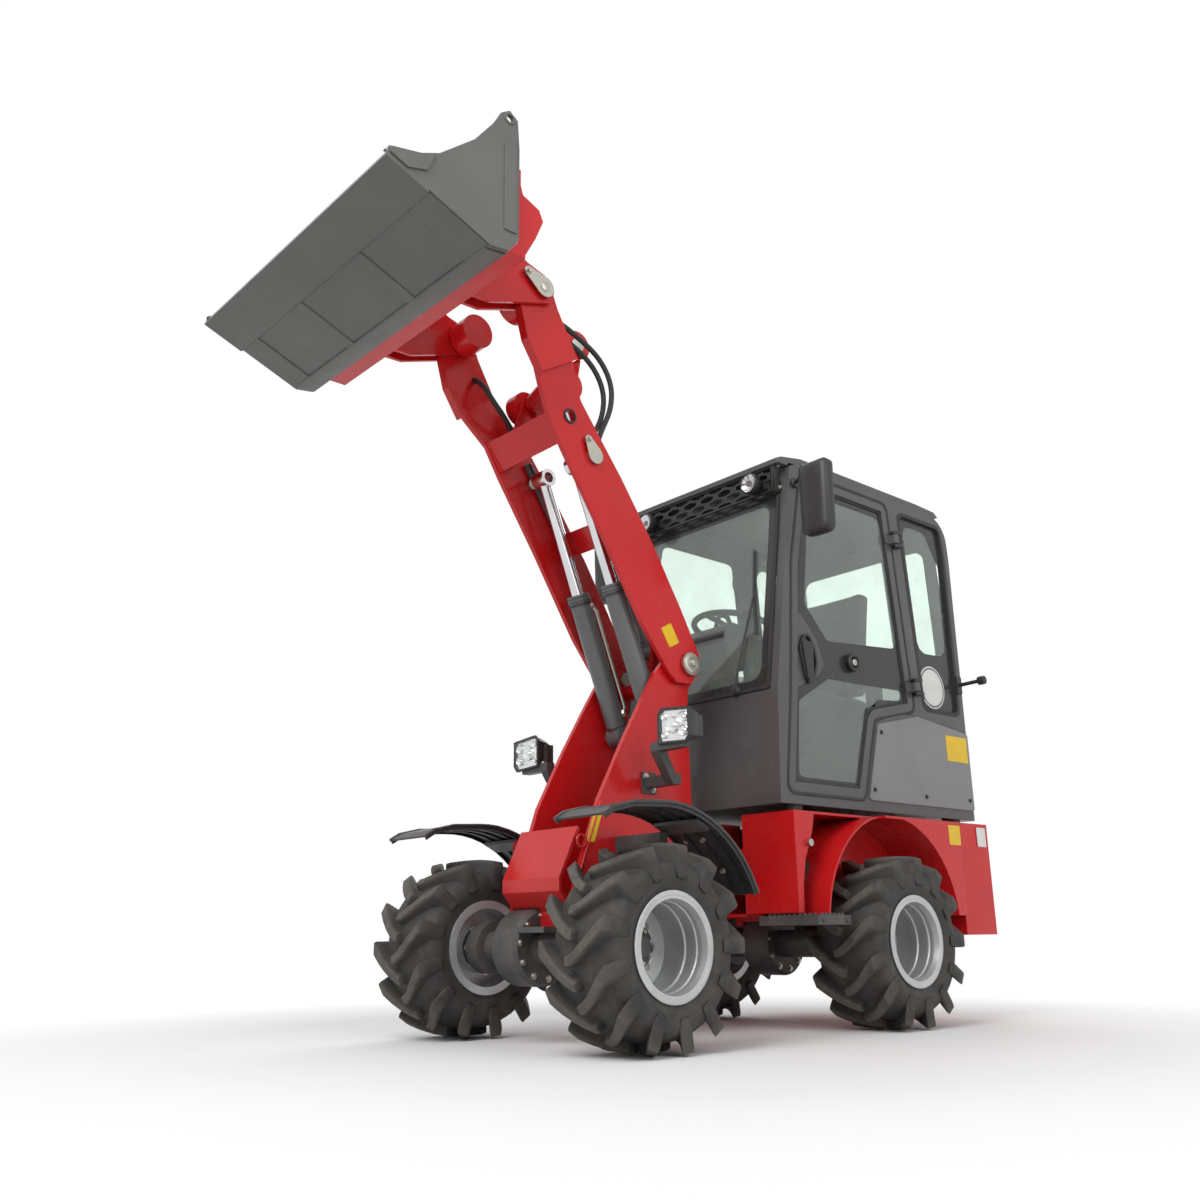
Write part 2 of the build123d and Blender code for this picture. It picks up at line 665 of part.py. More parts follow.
BOOM = [
    (1005, 2740), (1024, 2658), (990, 2530), (902, 2391), (829, 2288), (760, 2170), (570, 1879), (368, 1551), (222, 1363),
    (179, 1328), (97, 1330), (47, 1400), (50, 1458), (79, 1516), (143, 1631), (302, 1896), (460, 2124), (564, 2259),
    (692, 2428), (768, 2564), (844, 2699), (880, 2790), (950, 2805),
]
FLARE_FROM = 1130
FLARE_TO = 1310


def boom_station(p):
    """How far along the boom a side-view point lies, from its foot pin to its head pin."""
    run = math.dist(BOOM_PIVOT, COUPLER_PIVOT)
    dx = (COUPLER_PIVOT[0] - BOOM_PIVOT[0]) / run
    dz = (COUPLER_PIVOT[1] - BOOM_PIVOT[1]) / run
    return (p[0] - BOOM_PIVOT[0]) * dx + (p[1] - BOOM_PIVOT[1]) * dz


def boom_arm():
    """Left boom plate: flat below, kinked outwards above the cross tube, and thicker at the head."""
    lower = side(clip(BOOM, boom_station, FLARE_FROM, False), BOOM_INNER_Y, BOOM_OUTER_Y)
    bend = clip(clip(BOOM, boom_station, FLARE_FROM, True), boom_station, FLARE_TO, False)
    slope = BOOM_FLARE / (FLARE_TO - FLARE_FROM)
    points = [(x, BOOM_INNER_Y + slope * (boom_station((x, z)) - FLARE_FROM), z) for x, z in bend]
    middle = extrude(make_face(Polyline(*points, close=True)), amount=BOOM_PLATE, dir=(0, 1, 0))
    upper = side(clip(BOOM, boom_station, FLARE_TO - 30, True), ARM_INNER_Y, ARM_OUTER_Y)
    return lower + middle + upper


def boom():
    body = both(boom_arm())
    cross = [(759, 2197), (829, 2305), (765, 2347), (695, 2239)]
    tube = side(cross, -BOOM_INNER_Y, BOOM_INNER_Y)
    centre = (sum(x for x, z in cross) / 4, sum(z for x, z in cross) / 4)
    hollow = [along(centre, p, math.dist(centre, p) - 20) for p in cross]
    body += tube - side(hollow, -BOOM_INNER_Y + 20, BOOM_INNER_Y - 20)
    body += side([(404, 1897), (416, 1890), (468, 1975), (456, 1982)], -BOOM_INNER_Y, BOOM_INNER_Y)
    ear = [(695, 2270), (648, 2470), (680, 2515), (720, 2500), (765, 2347), (829, 2305)]
    body += both(side(ear, 88, 104, 10))
    body -= bar_y(BOOM_PIVOT, BOOM_PIN_R + PIN_PLAY, -300, 300)
    body -= bar_y(COUPLER_PIVOT, PIN_R + PIN_PLAY, -400, 400)
    body -= bar_y(LEVER_PIVOT, PIN_R + PIN_PLAY, -130, 130)
    body -= both(bar_y((725, 2312), 24, BOOM_INNER_Y - 10, 300))
    return body - both(bar_y(LIFT_HEAD, PIN_R, 150, 300))


HOSE_LEFT = [(852, ARM_INNER_Y, 2652), (836, 178, 2700), (748, 150, 2752), (633, 150, 2718), (509, 150, 2660),
             (444, 150, 2560), (452, 150, 2444), (514, 155, 2327), (560, 172, 2230), (566, 180, 2150)]
HOSE_RIGHT = [(862, -ARM_INNER_Y, 2600), (868, -180, 2562), (840, -150, 2486), (770, -150, 2420), (735, -150, 2370),
              (746, -150, 2318)]


def hose(points):
    line = Spline(*points)
    return sweep(Plane(origin=line @ 0, z_dir=line % 0) * Circle(HOSE_R), path=line)


def boom_hoses():
    """Two hoses looped over the left side and one along the right side."""
    second = [(x + 18, y - 30, z - 20) for x, y, z in HOSE_LEFT[1:-2]]
    second = [(826, ARM_INNER_Y, 2606)] + second + [(610, BOOM_INNER_Y, 2290)]
    return hose(HOSE_LEFT) + hose(second) + hose(HOSE_RIGHT) - boom()


def lift_head_pins():
    pin = bar_y(LIFT_HEAD, PIN_R, BOOM_INNER_Y - 20, BOOM_OUTER_Y)
    return both(pin + bar_y(LIFT_HEAD, 34, BOOM_OUTER_Y, BOOM_OUTER_Y + 10))


EAR_IN_Y = (ARM_INNER_Y - MOVING_GAP - EAR, ARM_INNER_Y - MOVING_GAP)
EAR_OUT_Y = (ARM_OUTER_Y + MOVING_GAP, ARM_OUTER_Y + MOVING_GAP + EAR)


def coupler_pins():
    """Coupler pins with round outer heads and thick collars between the arms."""
    pin = bar_y(COUPLER_PIVOT, PIN_R, EAR_IN_Y[0] - 8, EAR_OUT_Y[1] + 2)
    pin += bar_y(COUPLER_PIVOT, 34, EAR_OUT_Y[1] + 2, EAR_OUT_Y[1] + 12)
    return both(pin + bar_y(COUPLER_PIVOT, 72, EAR_IN_Y[0] - 108, EAR_IN_Y[0] - 8))


COUPLER_EAR = [
    (HITCH_X, 2595), (HITCH_X, 2950), (1240, 2950), (1010, 2832), (925, 2808), (878, 2760), (890, 2700), (945, 2684),
    (1180, 2600),
]


def coupler():
    """Tool carrier: two pairs of ears, two beams, end cheeks and the link ears."""
    body = both(side(COUPLER_EAR, *EAR_IN_Y, 12) + side(COUPLER_EAR, *EAR_OUT_Y, 12))
    body += both(box(1170, HITCH_X, EAR_IN_Y[1], EAR_OUT_Y[0], 2705, 2880))
    body += box(1258, HITCH_X, -615, 615, 2592, 2650)
    body += box(1268, HITCH_X, -600, 600, 2890, 2950)
    cheek = [(HITCH_X, 2592), (HITCH_X, 3010), (1306, 3010), (1262, 2850), (1190, 2820), (1172, 2780), (1205, 2700),
             (1262, 2592)]
    body += both(side(cheek, 585, 605, 10))
    x, z = LINK_HEAD
    ear = [(HITCH_X, 2890), (HITCH_X, 2980), (1000, 3030), (x, z + 46), (x - 42, z), (x, z - 46), (1000, 2920)]
    body += both(side(ear, 38, 54, 12))
    body += both(bar_y(LINK_HEAD, 30, 54, 64))
    body -= bar_y(COUPLER_PIVOT, PIN_R + PIN_PLAY, -400, 400)
    return body


HEEL = [(1446, 2537), (1377, 2547), (HITCH_X, 2604)]
LIP = (1844, 2698)


def bucket():
    """Bent floor-and-back sheet between two cheeks, with a cutting edge."""
    floor = [LIP] + HEEL + [(HITCH_X, 2956), (1350, 3040)]
    shell = side(band(floor, BUCKET_SHEET), -BUCKET_HALF_W + BUCKET_SHEET, BUCKET_HALF_W - BUCKET_SHEET)
    edge_path = [LIP, along(LIP, HEEL[0], 170)]
    edge = side(band(edge_path, -10), -BUCKET_HALF_W, BUCKET_HALF_W)
    cheek = [LIP] + HEEL + [(HITCH_X, 2956), (1340, 3070), (1375, 3095), (1410, 3070), (1437, 3018), (1518, 2908),
                            (1652, 2788), (1727, 2752), (1838, 2725)]
    plate = side(cheek, BUCKET_HALF_W - BUCKET_SHEET, BUCKET_HALF_W)
    plate -= bar_y(BUCKET_EYE, EYE_R, BUCKET_HALF_W - 50, BUCKET_HALF_W + 50)
    return shell + edge + both(plate)


# Tilt linkage

LEVER_Y = (64, 80)
LINK_Y = (46, 57)
LINK_NECK = 200


def lever_pin():
    """Stub pins through the boom's ears, each with a collar on its outside."""
    return both(bar_y(LEVER_PIVOT, PIN_R, LEVER_Y[0] - 2, 112) + bar_y(LEVER_PIVOT, 66, 108, 168))


def tilt_lever():
    """Two plates on stub pins, so that the tilt rod can pass between them."""
    outline = [(640, 2432), (668, 2438), (715, 2465), (716, 2500), (640, 2600), (628, 2722), (600, 2752), (560, 2738),
               (550, 2690), (570, 2570), (608, 2462)]
    body = both(side(outline, *LEVER_Y, 10) + bar_y(LEVER_CYL, PIN_R, 44, 92))
    body -= bar_y(LEVER_PIVOT, PIN_R + PIN_PLAY, -100, 100)
    return body - bar_y(LEVER_TOP, PIN_R + PIN_PLAY, -100, 100)


def link_pin():
    """Stub pins through the lever's top, so that the tilt rod can pass between them."""
    return both(bar_y(LEVER_TOP, PIN_R, LINK_Y[0] - 2, 92) + bar_y(LEVER_TOP, 62, LEVER_Y[1] + 4, LEVER_Y[1] + 24))


def on_link(distance, rise):
    """The side-view point this far along the tilt link from the lever, and this far above it."""
    x, z = along(LEVER_TOP, LINK_HEAD, distance)
    length = math.dist(LEVER_TOP, LINK_HEAD)
    across = (LEVER_TOP[1] - LINK_HEAD[1], LINK_HEAD[0] - LEVER_TOP[0])
    return (x + across[0] * rise / length, z + across[1] * rise / length)


def tilt_link():
    """Two bowed plates that clear the lever's cylinder pin, a cross block and a box head to the coupler."""
    bow = [(0, 30), (80, 46), (185, 46), (LINK_NECK + 28, 30), (LINK_NECK + 28, -22), (190, -20), (165, 4), (85, 4), (20, -28)]
    body = both(side([on_link(*p) for p in bow], *LINK_Y) + bar_y(LEVER_TOP, 34, *LINK_Y))
    block = [(185, 40), (LINK_NECK + 28, 30), (LINK_NECK + 28, -22), (190, -20)]
    body += side([on_link(*p) for p in block], -LINK_Y[1], LINK_Y[1])
    length = math.dist(LEVER_TOP, LINK_HEAD)
    way = Vector(LINK_HEAD[0] - LEVER_TOP[0], 0, LINK_HEAD[1] - LEVER_TOP[1])
    place = Plane(origin=at_y(on_link(LINK_NECK, 0), 0), x_dir=(0, 1, 0), z_dir=way)
    body += place * Box(60, 44, length - LINK_NECK + 26, align=(Align.CENTER, Align.CENTER, Align.MIN))
    body += bar_y(LINK_HEAD, 38, -32, 32)
    return body - bar_y(LEVER_TOP, PIN_R + PIN_PLAY, -60, 60)


def tilt_base_pin():
    return bar_y(TILT_BASE, PIN_R, -76, 76) + both(bar_y(TILT_BASE, 55, 70, 120))


def barrel(base, head, y, barrel_r, rod_r, mouth, bore_from):
    """Cylinder barrel with its foot eye, gland and port block, bored for its rod."""
    foot = along(base, head, barrel_r)
    body = rod(at_y(foot, y), at_y(along(base, head, mouth), y), barrel_r)
    body += rod(at_y(along(base, head, mouth - 34), y), at_y(along(base, head, mouth), y), barrel_r + 5)
    body += bar_y(base, barrel_r, y - 38, y + 38)
    body += rod(at_y(base, y), at_y(foot, y), barrel_r - 10)
    body -= bar_y(base, PIN_R + PIN_PLAY, y - 60, y + 60)
    return body - rod(at_y(along(base, head, bore_from), y), at_y(head, y), rod_r + PIN_PLAY)


def piston_rod(base, head, y, rod_r, tail, eye_r, half):
    """Piston rod from inside its barrel to its eye."""
    body = rod(at_y(along(base, head, tail), y), at_y(head, y), rod_r)
    return body + bar_y(head, eye_r, y - half, y + half)


TILT_MOUTH = 860
TILT_TAIL = 400
LIFT_MOUTH = 603
LIFT_TAIL = 520


def tilt_barrel():
    return barrel(TILT_BASE, LEVER_CYL, 0, TILT_BARREL_R, TILT_ROD_R, TILT_MOUTH, 120)


def tilt_rod():
    return piston_rod(TILT_BASE, LEVER_CYL, 0, TILT_ROD_R, TILT_TAIL, 36, 42)


def lift_barrels():
    return both(barrel(LIFT_BASE, LIFT_HEAD, LIFT_Y, LIFT_BARREL_R, LIFT_ROD_R, LIFT_MOUTH, 62))


def lift_rods():
    body = piston_rod(LIFT_BASE, LIFT_HEAD, LIFT_Y, LIFT_ROD_R, LIFT_TAIL, 36, 36)
    return both(body - bar_y(LIFT_HEAD, PIN_R, 0, 200))


def nodes():
    made = {}
    for end, x in (("front", FRONT_X), ("rear", REAR_X)):
        for label, sign in (("left", 1), ("right", -1)):
            centre = Pos(x, sign * WHEEL_Y, TYRE_R)
            made[f"tyre_{end}_{label}"] = centre * tyre()
            made[f"rim_{end}_{label}"] = centre * Rot(0, 0, 90 - 90 * sign) * rim()
    for make in (front_chassis, front_axle, front_pins, safety_strut, rear_chassis, counterweight, tail_lamps,
                 battery_block, articulation_pins, rear_axle, steps, cab_frame, cab_floor, cab_front_panel, cab_windows,
                 cab_roof, roof_visor, work_lamps, side_panels, cab_mounts, door_hinges, mirrors, seat_base, seat_pads,
                 steering_column, boom, boom_hoses, lift_head_pins, coupler_pins, coupler, bucket, lever_pin, tilt_lever,
                 link_pin, tilt_link, tilt_base_pin, tilt_barrel, tilt_rod, lift_barrels, lift_rods):
        made[make.__name__] = make()
    made["front_fenders"] = both(fender())
    made["front_brackets"] = both(fender_arm() + lamp_stand())
    made["headlamps"] = both(headlamp_lens())
    for label, left in (("left", True), ("right", False)):
        made["door_" + label] = door(left)
        made["door_glass_" + label] = door_glass(left)
        made["door_handle_" + label] = door_handle(left)
    return made


def main():
    os.makedirs("parts", exist_ok=True)
    made = nodes()
    bounds = Compound(children=[Compound(shape.solids()) for shape in made.values()]).bounding_box()
    shift = Pos(-(bounds.min.X + bounds.max.X) / 2, 0, -bounds.min.Z)
    for name, shape in made.items():
        solids = (shift * shape).solids()
        export_step(solids[0] if len(solids) == 1 else Compound(solids), f"parts/{name}.step")


if __name__ == "__main__":
    main()
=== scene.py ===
"""Looks of a compact articulated wheel loader: finishes, tyres, hoses, trim, seat and stage."""
import json
import math

import bmesh
import bpy
from bpy.props import FloatProperty, FloatVectorProperty, IntProperty, PointerProperty
from bpy.types import Operator, Panel, PropertyGroup
from mathutils import Matrix, Vector


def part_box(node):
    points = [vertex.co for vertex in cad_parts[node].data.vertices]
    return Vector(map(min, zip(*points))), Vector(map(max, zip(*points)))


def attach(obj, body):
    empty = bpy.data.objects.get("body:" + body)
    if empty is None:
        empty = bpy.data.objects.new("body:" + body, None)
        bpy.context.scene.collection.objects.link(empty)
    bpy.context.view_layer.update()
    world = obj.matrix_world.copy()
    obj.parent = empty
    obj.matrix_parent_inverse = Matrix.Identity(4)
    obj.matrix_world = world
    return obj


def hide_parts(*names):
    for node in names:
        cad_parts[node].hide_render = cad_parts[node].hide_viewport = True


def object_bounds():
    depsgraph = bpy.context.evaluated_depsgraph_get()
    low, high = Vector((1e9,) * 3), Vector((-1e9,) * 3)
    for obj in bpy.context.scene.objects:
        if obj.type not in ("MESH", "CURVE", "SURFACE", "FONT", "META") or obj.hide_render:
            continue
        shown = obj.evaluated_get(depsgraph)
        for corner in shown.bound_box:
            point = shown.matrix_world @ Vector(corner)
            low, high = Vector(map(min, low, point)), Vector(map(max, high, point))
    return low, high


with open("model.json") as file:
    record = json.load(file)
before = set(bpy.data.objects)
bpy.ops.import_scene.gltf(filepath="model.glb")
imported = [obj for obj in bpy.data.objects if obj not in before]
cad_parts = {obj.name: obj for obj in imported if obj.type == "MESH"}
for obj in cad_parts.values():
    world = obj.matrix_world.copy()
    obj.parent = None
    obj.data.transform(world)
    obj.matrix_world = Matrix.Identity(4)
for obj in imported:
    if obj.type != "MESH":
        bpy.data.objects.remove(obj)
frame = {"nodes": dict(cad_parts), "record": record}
CAD_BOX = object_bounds()

bl_info = {
    "name": "Wheel loader looks",
    "version": (1, 0, 0),
    "blender": (4, 5, 0),
    "location": "View3D > Sidebar > Loader",
    "description": "Dresses the loader's frame with finishes, tyres, hoses, trim, a seat and a stage",
    "category": "Object",
}

MM = 0.001


# Places taken from the frame

def centre_of(node):
    low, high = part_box(node)
    return (Vector(low) + Vector(high)) / 2


def joint_place(name):
    for joint in frame["record"]["behaviour"]["joints"]:
        if joint["name"] == name:
            return Vector(joint["pos_m"])
    raise KeyError(name)


CORNERS = ("front_left", "front_right", "rear_left", "rear_right")
HUB = {corner: centre_of("rim_" + corner) for corner in CORNERS}
STEER_X = centre_of("articulation_pins").x
BOOM_PIVOT = joint_place("boom_lift")
COUPLER_PIVOT = joint_place("coupler_level")
LEVER_TOP = joint_place("link_level")


def spot(x, y, z):
    """A point given in millimetres from the ground under the articulation."""
    return Vector((STEER_X + x * MM, y * MM, z * MM))


# Sizes and colours

def count(name, description, default, least):
    return IntProperty(name=name, description=description, default=default, min=least)


def measure(name, description, default):
    return FloatProperty(name=name, description=description, default=default, unit="LENGTH")


def tint(name, description, default):
    return FloatVectorProperty(name=name, description=description, default=default, subtype="COLOR")


class LoaderSizes(PropertyGroup):
    """Sizes of the pieces that are added to the frame."""
    lugs: count("Lugs per side", "Tread bars on each half of a tyre", 13, 6)
    lug_height: measure("Lug height", "How far a tread bar stands out", 0.031)
    hose_diameter: measure("Hose diameter", "Outer diameter of the sleeved hoses", 0.022)
    bolt_width: measure("Wheel nut width", "Width across flats", 0.024)
    wheel_nuts: count("Wheel nuts", "Nuts on each hub", 8, 3)


class LoaderColours(PropertyGroup):
    """Base colours of the finishes, linear."""
    red: tint("Red paint", "Frames and boom", (0.56, 0.008, 0.010))
    cab: tint("Cab paint", "Cab and doors", (0.080, 0.080, 0.081))
    panel: tint("Panel grey", "Side panels", (0.205, 0.208, 0.212))
    bucket: tint("Bucket grey", "Bucket", (0.114, 0.114, 0.108))
    rim: tint("Rim silver", "Wheel rims", (0.56, 0.57, 0.58))
    tyre: tint("Tyre rubber", "Tyres", (0.026, 0.025, 0.024))
    worn: tint("Worn rubber", "Tops of the tread bars", (0.105, 0.092, 0.078))


# Nodes

def feed(tree, socket, value):
    """Links an output to a socket, or sets the socket's value."""
    if hasattr(value, "is_output"):
        tree.links.new(value, socket)
    elif value is not None:
        socket.default_value = value


def node(tree, kind, settings=None, **inputs):
    """A new node with its settings, and with its inputs by name."""
    made = tree.nodes.new(kind)
    for label, value in (settings or {}).items():
        setattr(made, label, value)
    for label, value in inputs.items():
        feed(tree, made.inputs[label.replace("_", " ")], value)
    return made


def math_node(tree, operation, a, b=None, clamp=False):
    made = node(tree, "ShaderNodeMath", {"operation": operation, "use_clamp": clamp})
    for socket, value in zip(made.inputs, (a, b)):
        feed(tree, socket, value)
    return made.outputs[0]


def noise(tree, vector, scale, detail=4.0, roughness=0.55):
    return node(tree, "ShaderNodeTexNoise", Vector=vector, Scale=scale, Detail=detail,
                Roughness=roughness).outputs["Fac"]


def ramp(tree, value, low, high):
    """Maps a value from low..high to 0..1, clamped."""
    return node(tree, "ShaderNodeMapRange", Value=value, From_Min=low, From_Max=high).outputs["Result"]


def object_coords(tree):
    return node(tree, "ShaderNodeTexCoord").outputs["Object"]


# Shader node groups

def group_tree(name, inputs, outputs):
    """An empty shader group with float inputs, its input sockets and its output sockets."""
    tree = bpy.data.node_groups.new(name, "ShaderNodeTree")
    for label, value in inputs.items():
        tree.interface.new_socket(label, in_out="INPUT", socket_type="NodeSocketFloat").default_value = value
    for label, kind in outputs.items():
        tree.interface.new_socket(label, in_out="OUTPUT", socket_type=kind)
    return tree, node(tree, "NodeGroupInput").outputs, node(tree, "NodeGroupOutput").inputs


def edges_group():
    """Rounded normals at sharp edges, and a mask of those edges broken up by noise."""
    tree, given, result = group_tree("worn_edges", {"Radius": 0.004, "Break-up": 40.0},
                                     {"Normal": "NodeSocketVector", "Edge": "NodeSocketFloat"})
    bevel = node(tree, "ShaderNodeBevel", {"samples": 4}, Radius=given["Radius"]).outputs["Normal"]
    dot = node(tree, "ShaderNodeVectorMath", {"operation": "DOT_PRODUCT"})
    feed(tree, dot.inputs[0], bevel)
    feed(tree, dot.inputs[1], node(tree, "ShaderNodeNewGeometry").outputs["True Normal"])
    bend = ramp(tree, dot.outputs["Value"], 0.985, 0.86)
    spots = ramp(tree, noise(tree, object_coords(tree), given["Break-up"]), 0.50, 0.66)
    feed(tree, result["Normal"], bevel)
    feed(tree, result["Edge"], math_node(tree, "MULTIPLY", bend, spots, clamp=True))
    return tree


def dust_group():
    """A mask for dust that lies in patches and gathers towards the ground."""
    tree, given, result = group_tree("settled_dust", {"Amount": 0.3, "Reach": 1.2, "Scale": 6.0},
                                     {"Mask": "NodeSocketFloat"})
    coords = object_coords(tree)
    height = node(tree, "ShaderNodeSeparateXYZ", Vector=coords).outputs["Z"]
    low = math_node(tree, "SUBTRACT", 1.0, math_node(tree, "DIVIDE", height, given["Reach"]), clamp=True)
    spots = ramp(tree, noise(tree, coords, given["Scale"], 6.0, 0.62), 0.36, 0.72)
    lying = math_node(tree, "MULTIPLY", spots, math_node(tree, "ADD", low, 0.15))
    feed(tree, result["Mask"], math_node(tree, "MULTIPLY", lying, given["Amount"], clamp=True))
    return tree


def grain_group():
    """Fine surface height: orange peel of paint or the grain of moulded plastic."""
    tree, given, result = group_tree("surface_grain", {"Scale": 300.0, "Wave": 0.5}, {"Height": "NodeSocketFloat"})
    coords = object_coords(tree)
    broad = math_node(tree, "MULTIPLY", noise(tree, coords, 9.0, 1.0, 0.5), given["Wave"])
    fine = noise(tree, coords, given["Scale"], 2.0, 0.5)
    feed(tree, result["Height"], math_node(tree, "ADD", fine, broad))
    return tree


# Materials

GROUPS = {}
FINISH = {}


class Finish:
    """A material being built: its tree, its shader and short ways to add nodes."""

    def __init__(self, name, **values):
        self.material = bpy.data.materials.new(name)
        self.material.use_nodes = True
        self.tree = self.material.node_tree
        self.shader = self.tree.nodes["Principled BSDF"]
        self.coords = object_coords(self.tree)
        for label, value in values.items():
            self.shader.inputs[label.replace("_", " ")].default_value = value

    def group(self, name, **values):
        return node(self.tree, "ShaderNodeGroup", {"node_tree": GROUPS[name]}, **values).outputs

    def noise(self, scale, detail=4.0, roughness=0.55):
        return noise(self.tree, self.coords, scale, detail, roughness)

    def wave(self, direction, scale, distortion):
        return node(self.tree, "ShaderNodeTexWave", {"bands_direction": direction}, Scale=scale,
                    Distortion=distortion, Vector=self.coords).outputs["Fac"]

    def ramp(self, value, low=0.3, high=0.7):
        return ramp(self.tree, value, low, high)

    def times(self, a, b, clamp=False):
        return math_node(self.tree, "MULTIPLY", a, b, clamp)

    def mix(self, mask, a, b):
        """Colour a where the mask is 0 and b where it is 1."""
        made = node(self.tree, "ShaderNodeMix", {"data_type": "RGBA"}, Factor=mask)
        for socket, colour in zip(made.inputs[6:8], (a, b)):
            feed(self.tree, socket, colour if hasattr(colour, "is_output") else (*colour[:3], 1.0))
        return made.outputs[2]

    def blend(self, mask, a, b):
        """Value a where the mask is 0 and b where it is 1."""
        return node(self.tree, "ShaderNodeMix", Factor=mask, A=a, B=b).outputs["Result"]

    def link(self, output, label):
        self.tree.links.new(output, self.shader.inputs[label])

    def bump(self, height, strength, distance, normal=None):
        """Adds the last relief and gives the finished material."""
        made = node(self.tree, "ShaderNodeBump", Strength=strength, Distance=distance, Height=height, Normal=normal)
        self.link(made.outputs["Normal"], "Normal")
        return self.material


def shade(colour, factor):
    return tuple(channel * factor for channel in colour)


DUST_COLOUR = (0.30, 0.26, 0.21)


def paint(name, colour, roughness=0.32, coat=0.35, wear=0.25, dust=0.25, bare=(0.20, 0.19, 0.18)):
    """Sprayed metal: slight tone shifts, orange peel, rubbed edges and a little dust low down."""
    f = Finish(name, Coat_Weight=coat, Coat_Roughness=0.12, Specular_IOR_Level=0.3)
    base = f.mix(f.ramp(f.noise(2.2, 3.0)), shade(colour, 0.88), shade(colour, 1.08))
    edges = f.group("worn_edges", Radius=0.0035)
    rubbed = f.mix(f.times(edges["Edge"], wear), base, bare)
    mask = f.group("settled_dust", Amount=dust)["Mask"]
    f.link(f.mix(mask, rubbed, DUST_COLOUR), "Base Color")
    rough = f.blend(f.ramp(f.noise(14.0, 5.0), 0.35), roughness - 0.06, roughness + 0.08)
    f.link(f.blend(mask, rough, 0.8), "Roughness")
    return f.bump(f.group("surface_grain", Scale=420.0)["Height"], 0.12, 0.0006, edges["Normal"])


def bare_metal(name, colour, roughness, scratch=60.0, metallic=1.0, dust=0.15):
    """Plated or bright metal with fine scratches and a film of dust."""
    f = Finish(name)
    stretch = node(f.tree, "ShaderNodeMapping", Scale=(1.0, 9.0, 1.0), Vector=f.coords).outputs["Vector"]
    lines = noise(f.tree, stretch, scratch, 6.0, 0.7)
    base = f.mix(f.ramp(f.noise(7.0), 0.35), shade(colour, 0.82), colour)
    mask = f.group("settled_dust", Amount=dust, Scale=9.0)["Mask"]
    f.link(f.mix(mask, base, DUST_COLOUR), "Base Color")
    f.link(f.blend(mask, metallic, 0.0), "Metallic")
    f.link(f.blend(f.ramp(lines, 0.35, 0.75), roughness - 0.05, roughness + 0.10), "Roughness")
    return f.bump(lines, 0.06, 0.0004, f.group("worn_edges", Radius=0.0025)["Normal"])


def moulded(name, colour, roughness=0.55, grain=260.0, dust=0.35):
    """Textured black plastic or rubber."""
    f = Finish(name)
    tone = f.ramp(f.noise(5.0))
    base = f.mix(tone, shade(colour, 0.8), shade(colour, 1.25))
    edges = f.group("worn_edges", Radius=0.003)
    rubbed = f.mix(f.times(edges["Edge"], 0.35), base, shade(colour, 3.0))
    mask = f.group("settled_dust", Amount=dust, Scale=8.0)["Mask"]
    f.link(f.mix(mask, rubbed, shade(DUST_COLOUR, 0.6)), "Base Color")
    f.link(f.blend(tone, roughness - 0.08, roughness + 0.08), "Roughness")
    return f.bump(f.group("surface_grain", Scale=grain)["Height"], 0.35, 0.0008, edges["Normal"])


def tyre_rubber(name, rubber, worn):
    """Tyre compound, lighter and brown where the bars have been on the ground."""
    f = Finish(name)
    top = node(f.tree, "ShaderNodeAttribute", {"attribute_name": "tread"}).outputs["Fac"]
    scuff = f.noise(24.0, 8.0, 0.68)
    base = f.mix(f.ramp(f.noise(8.0, 6.0)), shade(rubber, 0.75), shade(rubber, 1.5))
    dust = f.group("settled_dust", Amount=0.30, Reach=0.9, Scale=11.0)["Mask"]
    dusty = f.mix(dust, base, shade(DUST_COLOUR, 0.45))
    f.link(f.mix(f.times(top, f.ramp(scuff, 0.28, 0.58), clamp=True), dusty, worn), "Base Color")
    f.link(f.blend(f.ramp(scuff), 0.58, 0.85), "Roughness")
    grain = f.group("surface_grain", Scale=150.0, Wave=1.2)["Height"]
    return f.bump(grain, 0.45, 0.0015, f.group("worn_edges", Radius=0.004)["Normal"])


def window_glass(name, clean, smeared, through):
    """Safety glass or a clear cover with faint smears; through is its share of clear light."""
    f = Finish(name, Transmission_Weight=through, IOR=1.45, Metallic=0.0)
    smear = f.noise(3.0, 5.0, 0.6)
    f.link(f.mix(f.ramp(smear, 0.4, 0.8), clean, smeared), "Base Color")
    f.link(f.blend(f.ramp(smear, 0.45, 0.8), 0.0, 0.07), "Roughness")
    return f.material


def lamp_lens(name, colour):
    """Clear lens with moulded flutes."""
    f = Finish(name, Transmission_Weight=0.75, IOR=1.49, Coat_Weight=0.6)
    tone = f.noise(20.0)
    f.link(f.mix(f.ramp(tone), shade(colour, 0.85), colour), "Base Color")
    f.link(f.blend(tone, 0.04, 0.12), "Roughness")
    return f.bump(f.wave("Z", 30.0, 0.5), 0.25, 0.001)


def seat_cloth(name, colour):
    """Woven seat fabric."""
    f = Finish(name, Sheen_Weight=0.4, Sheen_Roughness=0.5)
    weave = f.times(f.wave("X", 210.0, 1.0), f.wave("Z", 210.0, 1.0))
    fade = f.noise(6.0)
    tone = f.mix(f.ramp(fade), shade(colour, 0.7), shade(colour, 1.3))
    f.link(f.mix(weave, shade(colour, 0.6), tone), "Base Color")
    f.link(f.blend(fade, 0.75, 0.92), "Roughness")
    return f.bump(weave, 0.4, 0.0008)


